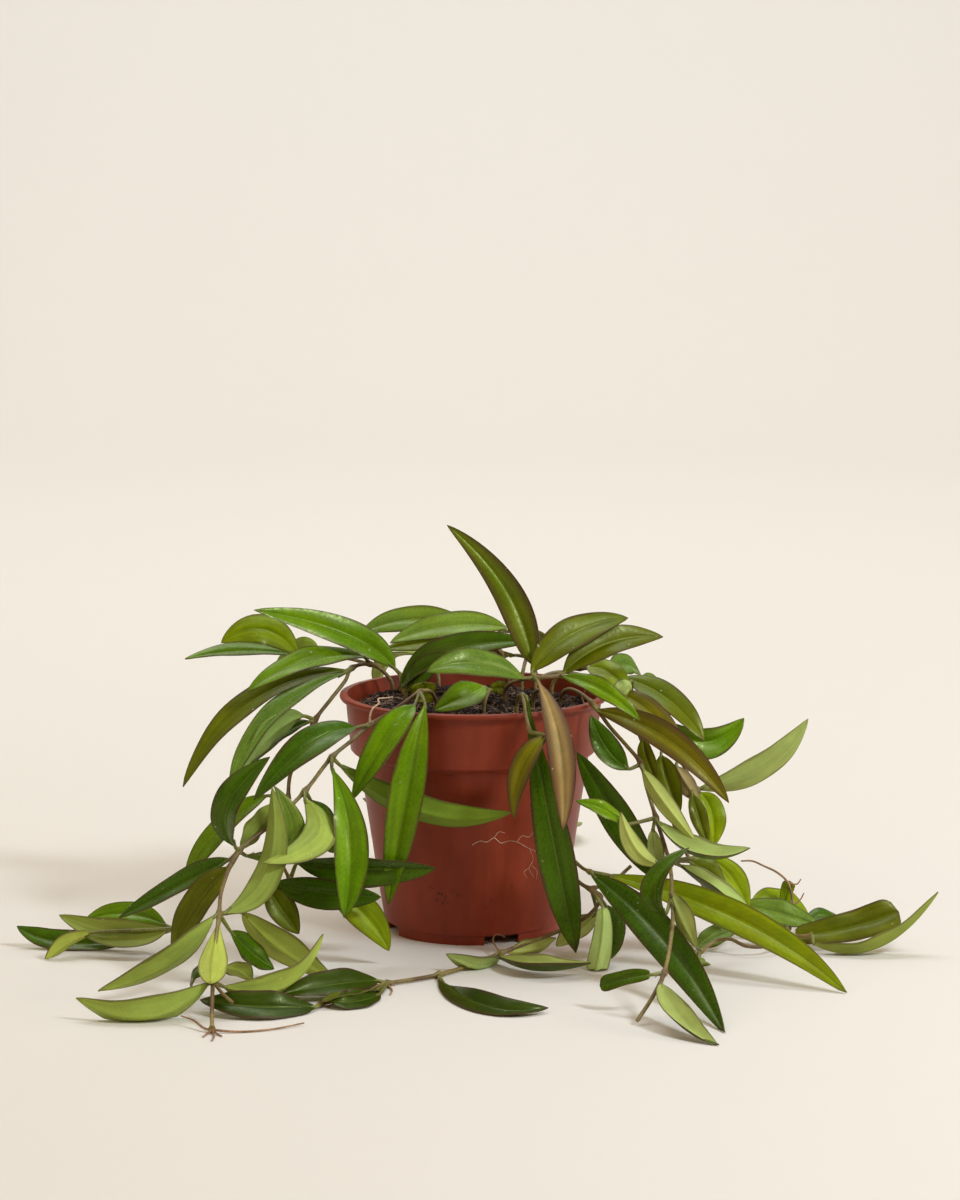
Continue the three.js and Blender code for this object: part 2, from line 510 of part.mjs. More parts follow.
// The pot
function potSolid() {
  const footInside = FOOT_RADIUS - 1.6;
  const floorTop = FOOT_HEIGHT + WALL;
  let pot = lathe([
    [0, FOOT_HEIGHT], [footInside, FOOT_HEIGHT], [footInside, 0], [FOOT_RADIUS, 0],
    [FOOT_RADIUS + 0.4, FOOT_HEIGHT], [BODY_FOOT_RADIUS, FOOT_HEIGHT + 0.3],
    [BODY_TOP_RADIUS, STEP_HEIGHT - 1], [COLLAR_FOOT_RADIUS - 0.4, STEP_HEIGHT],
    [COLLAR_FOOT_RADIUS, STEP_HEIGHT + 0.8], [COLLAR_TOP_RADIUS, POT_HEIGHT - LIP_HEIGHT],
    [RIM_RADIUS - 0.3, POT_HEIGHT - LIP_HEIGHT + 0.1], [RIM_RADIUS, POT_HEIGHT - LIP_HEIGHT / 2],
    [RIM_RADIUS - 0.5, POT_HEIGHT], [COLLAR_TOP_RADIUS - 0.6, POT_HEIGHT],
    [COLLAR_TOP_RADIUS - WALL, POT_HEIGHT - LIP_HEIGHT], [COLLAR_FOOT_RADIUS - WALL, STEP_HEIGHT + 1.6],
    [BODY_TOP_RADIUS - WALL, STEP_HEIGHT + 0.4], [BODY_FOOT_RADIUS - WALL + 0.2, floorTop], [0, floorTop],
  ]);
  for (let index = 0; index < SLOT_COUNT; index += 1) {
    const turn = SLOT_TURN + (index * 2 * Math.PI) / SLOT_COUNT;
    const slot = new THREE.BoxGeometry(8, SLOT_WIDTH, 2 * (FOOT_HEIGHT - 0.4));
    pot = pot.subtract(placed(slot, Math.cos(turn) * FOOT_RADIUS, Math.sin(turn) * FOOT_RADIUS, 0, turn));
  }
  for (let index = 0; index < DRAIN_COUNT; index += 1) {
    const turn = (index * 2 * Math.PI) / DRAIN_COUNT;
    const x = Math.cos(turn) * DRAIN_CIRCLE;
    const y = Math.sin(turn) * DRAIN_CIRCLE;
    pot = pot.subtract(upright(DRAIN_RADIUS, 6, x, y, FOOT_HEIGHT - 2, 12));
  }
  return pot;
}

// The soil, with a plain hole for each stem
function soilSolid() {
  const inner = WALL + CLEARANCE;
  const top = SOIL_EDGE_HEIGHT;
  const taper = (COLLAR_TOP_RADIUS - COLLAR_FOOT_RADIUS) / (POT_HEIGHT - LIP_HEIGHT - STEP_HEIGHT);
  const edge = COLLAR_FOOT_RADIUS + taper * (top - STEP_HEIGHT) - inner - 0.2;
  const floorTop = FOOT_HEIGHT + WALL + CLEARANCE;
  let soil = lathe([
    [0, floorTop], [BODY_FOOT_RADIUS - inner, floorTop], [BODY_TOP_RADIUS - inner - 0.1, STEP_HEIGHT + 0.6],
    [COLLAR_FOOT_RADIUS - inner - 0.4, STEP_HEIGHT + 2.3], [edge, top], [edge * 0.7, top + SOIL_MOUND * 0.6],
    [edge * 0.35, top + SOIL_MOUND * 0.9], [0, top + SOIL_MOUND],
  ]);
  for (const stem of STEMS) {
    const foot = footOf(stem);
    const hole = upright(stem.radius + HOLE_ROOM, 2 * HOLE_DEPTH, foot.x, foot.y, foot.z - CLEARANCE, 8);
    soil = soil.subtract(hole);
  }
  return soil;
}

// The foot of a stem stands upright in its hole, straight below the first point of its route
function footOf(stem) {
  const foot = point(stem.routes[0][1][0]).clone();
  foot.z = SOIL_EDGE_HEIGHT - HOLE_DEPTH * 0.6;
  return foot;
}

// A place on a stem, lifted clear of the surface where the stem lies on it
function lifted(reading, thick) {
  const found = point(reading).clone();
  found.z = Math.max(found.z, thick + LYING_GAP);
  return found;
}

function tube(points, radius, sides) {
  const curve = new THREE.CatmullRomCurve3(points, false, "centripetal");
  const corners = [];
  for (let index = 0; index < sides; index += 1) {
    const turn = (index * 2 * Math.PI) / sides;
    corners.push(new THREE.Vector2(Math.cos(turn) * radius, Math.sin(turn) * radius));
  }
  const steps = Math.max(2, Math.round(curve.getLength() / STEM_STEP));
  const geometry = new THREE.ExtrudeGeometry(new THREE.Shape(corners), {
    extrudePath: curve, steps, bevelEnabled: false,
  });
  return toSolid(geometry);
}

// How wide the blade is along its length, as a share of its width
function bladeShare(along, blunt, lean) {
  const swell = Math.sin(Math.PI * Math.pow(along, 0.9 * lean));
  const taper = blunt ? Math.pow(along, 0.4) : Math.pow(swell, 0.72);
  return blunt ? Math.min(1, 0.35 + 0.75 * taper) : taper;
}

function bladeCurve(base, middle, tip) {
  const bend = middle.clone().multiplyScalar(2).addScaledVector(base, -0.5).addScaledVector(tip, -0.5);
  return new THREE.QuadraticBezierCurve3(base, bend, tip);
}

// One leaf with its stalk. Each station has four corners: left margin, upper rib, right margin, lower rib.
// Its panels are split into triangles alike on both faces.
function leafSolid(spec, stemRadius) {
  const node = lifted(spec.node, stemRadius);
  const curve = bladeCurve(point(spec.base), point(spec.middle), point(spec.tip));
  const outward = curve.getPoint(0).sub(node).normalize();
  const stations = [{ centre: node, along: 0, width: STALK_WIDTH, tangent: outward }];
  for (const along of [0, ...BLADE_STATIONS, ...(spec.blunt ? [1] : [])]) {
    const width = along === 0 ? STALK_WIDTH : spec.width * bladeShare(along, spec.blunt, spec.lean);
    stations.push({ centre: curve.getPoint(along), along, width, tangent: curve.getTangent(along) });
  }
  faceStations(stations, new THREE.Vector3(...spec.face));
  const fold = THREE.MathUtils.degToRad(spec.fold);
  const corners = [];
  stations.forEach(({ centre, along, width, tangent, normal }, index) => {
    const turn = THREE.MathUtils.degToRad(spec.twist) * (along - 0.5);
    const turned = normal.clone().applyAxisAngle(tangent, turn);
    const side = new THREE.Vector3().crossVectors(tangent, turned);
    const bend = index < 2 ? 0 : fold;
    const reach = (width / 2) * Math.cos(bend);
    const rise = (width / 2) * Math.sin(bend);
    const thick = (index < 2 ? STALK_WIDTH : LEAF_THICK) / 2;
    for (const [across, lift] of [[-reach, rise], [0, thick], [reach, rise], [0, -thick]]) {
      const corner = centre.clone().addScaledVector(side, across).addScaledVector(turned, lift);
      const lowest = LYING_GAP + (lift < 0 ? 0 : LEAF_THICK);
      corner.z = Math.max(corner.z, across === 0 ? lowest : LYING_GAP + LEAF_THICK / 2);
      corners.push(corner);
    }
  });
  if (!spec.blunt) {
    const tip = curve.getPoint(1);
    tip.z = Math.max(tip.z, LYING_GAP + LEAF_THICK / 2);
    corners.push(tip);
  }
  return stitch(corners, stations.length - 1, spec.blunt);
}

// The upper side looks along `face` at the middle station, and turns as little as it can from there
function faceStations(stations, face) {
  const middle = Math.floor(stations.length / 2);
  const square = (vector, tangent) => {
    const along = vector.dot(tangent);
    return vector.clone().addScaledVector(tangent, -along).normalize();
  };
  stations[middle].normal = square(face, stations[middle].tangent);
  for (let index = middle - 1; index >= 0; index -= 1) {
    stations[index].normal = square(stations[index + 1].normal, stations[index].tangent);
  }
  for (let index = middle + 1; index < stations.length; index += 1) {
    stations[index].normal = square(stations[index - 1].normal, stations[index].tangent);
  }
}

function stitch(corners, last, blunt) {
  const triangles = [];
  for (let here = 0; here < last * 4; here += 4) {
    const next = here + 4;
    for (const margin of [0, 2]) {
      const upper = margin === 0 ? [1, 3] : [3, 1];
      const [near, far] = [here + margin, next + margin];
      triangles.push(near, here + upper[0], next + upper[0], near, next + upper[0], far);
      triangles.push(near, next + upper[1], here + upper[1], near, far, next + upper[1]);
    }
  }
  triangles.push(0, 2, 1, 0, 3, 2);
  const end = last * 4;
  if (blunt) {
    triangles.push(end, end + 1, end + 2, end, end + 2, end + 3);
  } else {
    for (let corner = 0; corner < 4; corner += 1) {
      triangles.push(end + corner, end + ((corner + 1) % 4), end + 4);
    }
  }
  const geometry = new THREE.BufferGeometry();
  const numbers = corners.flatMap((one) => one.toArray());
  geometry.setAttribute("position", new THREE.Float32BufferAttribute(numbers, 3));
  geometry.setIndex(triangles);
  return toSolid(geometry);
}

function stemSolid(stem) {
  const parts = stem.routes.map(([thick, route], index) => {
    const points = route.map((reading) => lifted(reading, thick));
    if (index === 0) {
      const foot = footOf(stem);
      const mouth = foot.clone().setZ(SOIL_EDGE_HEIGHT + SOIL_MOUND + 1);
      points.unshift(foot, mouth);
    }
    return tube(points, thick, STEM_SIDES);
  });
  const swell = stem.radius * KNOT_SWELL;
  for (const reading of stem.knots) {
    const centre = lifted(reading, swell);
    parts.push(placed(new THREE.OctahedronGeometry(swell), centre.x, centre.y, centre.z));
  }
  for (const spec of stem.leaves) {
    parts.push(leafSolid(spec, stem.radius));
  }
  return parts.reduce((whole, part) => whole.add(part));
}

// Colours and surfaces
const FINISH = {
  pot: new THREE.MeshStandardMaterial({ color: 0x84331f, roughness: 0.5, metalness: 0 }),
  soil: new THREE.MeshStandardMaterial({ color: 0x2b1c14, roughness: 0.95, metalness: 0 }),
  stem: new THREE.MeshStandardMaterial({ color: 0x4d7a22, roughness: 0.45, metalness: 0 }),
};

function piece(name, solid, material) {
  const mesh = new THREE.Mesh(toGeometry(solid), material);
  mesh.name = name;
  return mesh;
}

const plant = new THREE.Group();
plant.add(piece("pot", potSolid(), FINISH.pot));
plant.add(piece("soil", soilSolid(), FINISH.soil));
for (const stem of STEMS) {
  plant.add(piece(stem.name, stemSolid(stem), FINISH.stem));
}

export default plant;
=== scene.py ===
"""Potted hoya: a thin plastic pot of soil, with leafy stems that arch over its rim and trail around it."""

import logging
import math
import random
from dataclasses import dataclass, field
from enum import Enum
from typing import Callable, ClassVar, Iterable, Sequence, Union

import bpy
import numpy as np
from mathutils import Euler, Matrix, Vector, noise


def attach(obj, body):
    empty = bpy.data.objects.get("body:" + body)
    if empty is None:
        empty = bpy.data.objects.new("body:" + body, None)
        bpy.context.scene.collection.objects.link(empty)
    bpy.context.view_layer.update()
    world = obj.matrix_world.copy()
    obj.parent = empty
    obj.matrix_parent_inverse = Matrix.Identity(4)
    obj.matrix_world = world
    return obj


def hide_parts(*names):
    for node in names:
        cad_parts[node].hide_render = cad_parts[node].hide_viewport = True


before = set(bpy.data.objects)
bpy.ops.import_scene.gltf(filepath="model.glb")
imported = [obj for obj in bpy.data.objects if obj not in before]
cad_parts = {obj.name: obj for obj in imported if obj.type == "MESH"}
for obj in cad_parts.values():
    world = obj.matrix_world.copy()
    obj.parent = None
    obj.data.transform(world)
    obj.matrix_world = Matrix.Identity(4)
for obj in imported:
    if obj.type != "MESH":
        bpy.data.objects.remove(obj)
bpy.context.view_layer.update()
LOG = logging.getLogger("potted_hoya")
MM = 0.001
TURN = 2 * math.pi

# The eye that the photograph was taken from, in millimetres, and its lens in picture points. The sensor's
# width is in millimetres too.
EYE = Vector((2.9, -1783.0, 413.0))
LOOK_DOWN = math.radians(8.43)
FOCAL_LENGTH = 4038.0
PICTURE = (960, 1200)
SENSOR = 36

# How far strands, threads and stems keep off the surface that the plant lies on, in millimetres
STRAND_GAP = 0.05
THREAD_GAP = 0.1
STEM_GAP = 0.4

# How far apart the places on a smooth line lie, in millimetres
STEM_STEP = 1.6
STALK_STEP = 1.5
THREAD_STEP = 0.8

# Where most values of a noise lie
MOST = (0.3, 0.7)

Piece = bpy.types.Object
Material = bpy.types.Material
Socket = bpy.types.NodeSocket
Triple = tuple[float, float, float]
Colour = Triple
Display = tuple[int, int, int]
Span = tuple[float, float]
Link = Union[Socket, float, Colour]
Reading = Union[Triple, Vector]
Line = tuple[Sequence[Vector], Sequence[float]]


def spot(across: float, down: float, depth: float) -> Vector:
    """Finds the place that a picture point shows at a known depth.

    Args:
        across: Picture points from the left edge.
        down: Picture points from the top edge.
        depth: The place's real y in millimetres.

    Returns:
        The place in millimetres.
    """
    sideways = (across - PICTURE[0] / 2) / FOCAL_LENGTH
    drop = (down - PICTURE[1] / 2) / FOCAL_LENGTH
    ray = Vector((sideways, math.cos(LOOK_DOWN) - drop * math.sin(LOOK_DOWN),
                  -math.sin(LOOK_DOWN) - drop * math.cos(LOOK_DOWN)))
    return EYE + ray * ((depth - EYE.y) / ray.y)


def place(x: float, y: float, z: float) -> Vector:
    """Gives a place on the hidden side by its real x, y and z in millimetres."""
    return Vector((x, y, z))


def point(reading: Reading) -> Vector:
    """Turns a picture reading or a real place into a place in millimetres."""
    return reading.copy() if isinstance(reading, Vector) else spot(*reading)


def lifted(reading: Reading, height: float) -> Vector:
    """Gives a place, raised to a least height above the surface.

    Args:
        reading: The place, read from the picture or given in millimetres.
        height: The least height in millimetres.

    Returns:
        The place in millimetres.
    """
    found = point(reading)
    found.z = max(found.z, height)
    return found


def around(far: float, turn: float, height: float = 0.0) -> Triple:
    """Gives the place at a distance and a turn about the upright axis, and at a height."""
    return far * math.cos(turn), far * math.sin(turn), height


def linear(red: int, green: int, blue: int) -> Colour:
    """Turns a display colour of 0 to 255 into the linear colour that shaders use, by the sRGB curve."""
    return tuple((c / 12.92 if c <= 0.04045 else ((c + 0.055) / 1.055) ** 2.4)
                 for c in (red / 255, green / 255, blue / 255))


def rest() -> None:
    """Deselects everything, so that an operator acts only on what follows."""
    if bpy.context.object and bpy.context.object.mode != "OBJECT":
        bpy.ops.object.mode_set(mode="OBJECT")
    bpy.ops.object.select_all(action="DESELECT")


def pick(*pieces: Piece) -> Piece:
    """Selects only these pieces and makes the first one active.

    Args:
        pieces: The pieces to select.

    Returns:
        The active piece.
    """
    rest()
    for piece in pieces:
        piece.select_set(True)
    bpy.context.view_layer.objects.active = pieces[0]
    return pieces[0]


def settle() -> None:
    """Puts the active piece's place, turn and scale into its mesh."""
    bpy.ops.object.transform_apply(location=True, rotation=True, scale=True)


def soften(piece: Piece, angle: float) -> None:
    """Shades a piece smooth, but for edges sharper than an angle in degrees."""
    pick(piece)
    bpy.ops.object.shade_smooth_by_angle(angle=math.radians(angle))


def shown(name: str, data: bpy.types.ID) -> Piece:
    """Puts a mesh, a curve or a lamp into the scene under a name.

    Args:
        name: The piece's name.
        data: What the piece shows.

    Returns:
        The piece.
    """
    piece = bpy.data.objects.new(name, data)
    bpy.context.collection.objects.link(piece)
    return piece


def join(pieces: Sequence[Piece], name: str) -> Piece:
    """Joins pieces into one and names it.

    Args:
        pieces: The pieces, of which the first one stays.
        name: The joined piece's name.

    Returns:
        The joined piece.
    """
    piece = pick(*pieces)
    if len(pieces) > 1:
        bpy.ops.object.join()
    piece.name = name
    piece.data.name = name
    return piece


def apply(piece: Piece, kind: str, **settings: object) -> None:
    """Adds a modifier, sets it up and applies it.

    Args:
        piece: The piece to change.
        kind: Blender's name for the kind of modifier.
        settings: The modifier's settings.
    """
    pick(piece)
    modifier = piece.modifiers.new(kind.title(), kind)
    for key, value in settings.items():
        setattr(modifier, key, value)
    bpy.ops.object.modifier_apply(modifier=modifier.name)


def smooth_path(points: Sequence[Vector], step: float) -> list[Vector]:
    """Runs a smooth line through points.

    Args:
        points: The points in millimetres.
        step: The largest distance between two places on the line.

    Returns:
        The places along the line.
    """
    ends = [points[0] * 2 - points[1], *points, points[-1] * 2 - points[-2]]
    found = [points[0].copy()]
    for before, here, there, after in zip(ends, ends[1:], ends[2:], ends[3:]):
        near, mid, far = (max((b - a).length, 1e-4) ** 0.5
                          for a, b in ((before, here), (here, there), (there, after)))
        leave = ((here - before) / near - (there - before) / (near + mid) + (there - here) / mid) * mid
        arrive = ((there - here) / mid - (after - here) / (mid + far) + (after - there) / far) * mid
        count = max(2, math.ceil((there - here).length / step))
        for index in range(1, count + 1):
            t = index / count
            found.append(here * (2 * t**3 - 3 * t**2 + 1) + leave * (t**3 - 2 * t**2 + t)
                         + there * (3 * t**2 - 2 * t**3) + arrive * (t**3 - t**2))
    return found


def strands(name: str, lines: Iterable[Line], sides: int, finish: Material) -> Piece:
    """Makes round strands along lines, as curves that become one mesh.

    Args:
        name: The piece's name.
        lines: For each strand its places in millimetres and its radius at each place.
        sides: How finely the strands are rounded.
        finish: The strands' material.

    Returns:
        The piece.
    """
    curve = bpy.data.curves.new(name, "CURVE")
    curve.dimensions = "3D"
    curve.bevel_depth = MM
    curve.bevel_resolution = sides
    curve.use_fill_caps = True
    for places, radii in lines:
        spline = curve.splines.new("POLY")
        spline.points.add(len(places) - 1)
        for knot, here, radius in zip(spline.points, places, radii):
            knot.co = (*(Vector((*here.xy, max(here.z, radius + STRAND_GAP))) * MM), 1)
            knot.radius = radius
        spline.use_smooth = True
    pick(shown(name, curve))
    bpy.ops.object.convert(target="MESH")
    piece = bpy.context.object
    piece.data.materials.clear()
    piece.data.materials.append(finish)
    return piece


# Finishes

class Graph:
    """A small helper that adds shader nodes to a tree and links them."""

    def __init__(self, tree: bpy.types.NodeTree) -> None:
        """Works on one node tree."""
        self.tree = tree

    def node(self, kind: str, inputs: dict[object, Link] | None = None, **settings: object) -> bpy.types.Node:
        """Adds a node.

        Args:
            kind: The node's type without its ShaderNode prefix.
            inputs: For each input its value or the socket that feeds it.
            settings: The node's own settings.

        Returns:
            The node.
        """
        made = self.tree.nodes.new("ShaderNode" + kind)
        for key, value in settings.items():
            setattr(made, key, value)
        for key, value in (inputs or {}).items():
            if isinstance(value, Socket):
                self.tree.links.new(value, made.inputs[key])
            elif isinstance(value, tuple) and len(value) == 3 and made.inputs[key].type == "RGBA":
                made.inputs[key].default_value = (*value, 1)
            else:
                made.inputs[key].default_value = value
        return made

    def maths(self, operation: str, *values: Link) -> Socket:
        """Adds a Math node and gives its result."""
        return self.node("Math", dict(enumerate(values)), operation=operation).outputs[0]

    def times(self, first: Link, second: Link) -> Socket:
        """Multiplies two values."""
        return self.maths("MULTIPLY", first, second)

    def plus(self, first: Link, second: Link) -> Socket:
        """Adds two values."""
        return self.maths("ADD", first, second)

    def mix(self, share: Link, first: Link, second: Link, blend: str = "MIX") -> Socket:
        """Mixes two colours.

        Args:
            share: How much of the second colour shows.
            first: The first colour.
            second: The second colour.
            blend: The way that they mix.

        Returns:
            The mixed colour.
        """
        inputs = {0: share, 6: first, 7: second}
        return self.node("Mix", inputs, data_type="RGBA", blend_type=blend).outputs[2]

    def between(self, share: Link, first: Link, second: Link) -> Socket:
        """Mixes two values."""
        return self.node("Mix", {0: share, 2: first, 3: second}).outputs[0]

    def grey(self, shade: Socket) -> Socket:
        """Makes a grey of one brightness."""
        return self.node("CombineColor", {0: shade, 1: shade, 2: shade}).outputs[0]

    def joined(self, *values: Link) -> Socket:
        """Makes a vector of two or three values."""
        return self.node("CombineXYZ", dict(enumerate(values))).outputs[0]

    def parts(self, vector: Socket) -> Sequence[Socket]:
        """Takes a vector apart."""
        return self.node("SeparateXYZ", {0: vector}).outputs

    def given(self, name: str) -> Socket:
        """Gives what a material hands to the group under a name."""
        return self.tree.nodes.new("NodeGroupInput").outputs[name]

    def body(self) -> Socket:
        """Gives the place on the piece."""
        return self.node("TexCoord").outputs["Object"]

    def kept(self, name: str, output: str) -> Socket:
        """Reads what the mesh keeps under a name."""
        return self.node("Attribute", attribute_name=name).outputs[output]

    def ramp(self, value: Link, low: float, high: float, start: Link = 0.0, end: Link = 1.0) -> Socket:
        """Turns a range of values smoothly into another.

        Args:
            value: What is turned.
            low: The value that gives start.
            high: The value that gives end.
            start: The result at low.
            end: The result at high.

        Returns:
            The result.
        """
        return self.node("MapRange", {0: value, 1: low, 2: high, 3: start, 4: end},
                         interpolation_type="SMOOTHSTEP").outputs[0]

    def grain(self, where: Socket, scale: Link, detail: float = 2.0, rough: float = 0.5) -> Socket:
        """Adds a noise over the surface.

        Args:
            where: The coordinates that it reads.
            scale: How many grains a metre holds.
            detail: How many finer layers it has.
            rough: How strong the finer layers are.

        Returns:
            The noise, from 0 to 1.
        """
        inputs = {"Vector": where, "Scale": scale, "Detail": detail, "Roughness": rough}
        return self.node("TexNoise", inputs).outputs[0]

    def relief(self, height: Socket, strength: float, depth: Link) -> Socket:
        """Turns a height into a relief of a depth in metres."""
        return self.node("Bump", {"Height": height, "Strength": strength, "Distance": depth}).outputs[0]


Fill = Callable[[Graph], tuple[Socket, Socket, Socket]]
SURFACE = {"Base Color": "NodeSocketColor", "Roughness": "NodeSocketFloat", "Normal": "NodeSocketVector"}


def grouped(name: str, fill: Fill, inputs: dict[str, float | Colour]) -> bpy.types.NodeTree:
    """Makes a shader node group that gives a colour, a roughness and a relief.

    Args:
        name: The group's name.
        fill: Adds its nodes and gives the sockets for its outputs.
        inputs: Its inputs, each with a value of the kind that it takes.

    Returns:
        The group.
    """
    group = bpy.data.node_groups.new(name, "ShaderNodeTree")
    for key, value in inputs.items():
        kind = "NodeSocketColor" if isinstance(value, tuple) else "NodeSocketFloat"
        group.interface.new_socket(name=key, in_out="INPUT", socket_type=kind)
    for key, kind in SURFACE.items():
        group.interface.new_socket(name=key, in_out="OUTPUT", socket_type=kind)
    end = group.nodes.new("NodeGroupOutput")
    for key, socket in zip(SURFACE, fill(Graph(group))):
        group.links.new(socket, end.inputs[key])
    return group


def surfaced(name: str, effect: str, fill: Fill, inputs: dict[str, float | Colour],
             **sockets: float | tuple[float, ...]) -> Material:
    """Makes a material whose colour, roughness and relief come from a shader node group.

    Args:
        name: The material's name.
        effect: The group's name. Materials that give the same one share the group.
        fill: Adds the group's nodes and gives the sockets for its outputs.
        inputs: The material's own values for the group's inputs.
        sockets: Constant values of the shader's own sockets, with _ for a space.

    Returns:
        The material.
    """
    material = bpy.data.materials.new(name)
    material.use_nodes = True
    tree = material.node_tree
    shader = tree.nodes["Principled BSDF"]
    made = tree.nodes.new("ShaderNodeGroup")
    made.node_tree = bpy.data.node_groups.get(effect) or grouped(effect, fill, inputs)
    for key, value in inputs.items():
        made.inputs[key].default_value = (*value, 1) if isinstance(value, tuple) else value
    for key in SURFACE:
        tree.links.new(made.outputs[key], shader.inputs[key])
    for key, value in sockets.items():
        shader.inputs[key.replace("_", " ")].default_value = value
    return material


@dataclass(frozen=True)
class LeafTone:
    """The colours of one kind of leaf.

    Attributes:
        upper: Its upper side, as a display colour.
        under: Its under side, as a display colour.
        margin: How strong its dark margin is.
        gloss: How much its upper side shines, from 0 to 1.
    """

    upper: Display
    under: Display = (142, 156, 66)
    margin: float = 0.6
    gloss: float = 0.6


class Tone(Enum):
    """The kinds of leaf, by their look."""

    FRESH = LeafTone((124, 144, 0), gloss=0.7)
    DEEP = LeafTone((56, 88, 0), (120, 138, 52), 0.75, 0.85)
    OLIVE = LeafTone((88, 98, 0), (128, 136, 52), 0.7, 0.65)
    BRONZE = LeafTone((112, 108, 0), (164, 140, 88), 0.94, 0.5)
    TAN = LeafTone((178, 143, 86), (138, 122, 66), 1.0, 0.3)
    BRIGHT = LeafTone((96, 134, 0), (124, 148, 40), 0.75, 0.9)
    # Partly its own sage green, partly painted sheen that makes the upper side pale and grey
    GREY = LeafTone((100, 128, 42), (144, 160, 86), 0.6, 1.0)
    PALE = LeafTone((58, 82, 2), (171, 184, 98), 0.85, 0.6)
    LIME = LeafTone((58, 82, 2), (169, 184, 76), 0.85, 0.6)
    YELLOW = LeafTone((138, 160, 56), (150, 174, 86), 0.3, 0.3)
    MARGIN = LeafTone((104, 122, 0), (136, 154, 64), 0.95, 0.8)
    # A darker copy of the deep leaf colours for the leaves lying on the floor: painted shade
    DARK = LeafTone((44, 64, 0), (96, 112, 40), 0.75, 0.7)


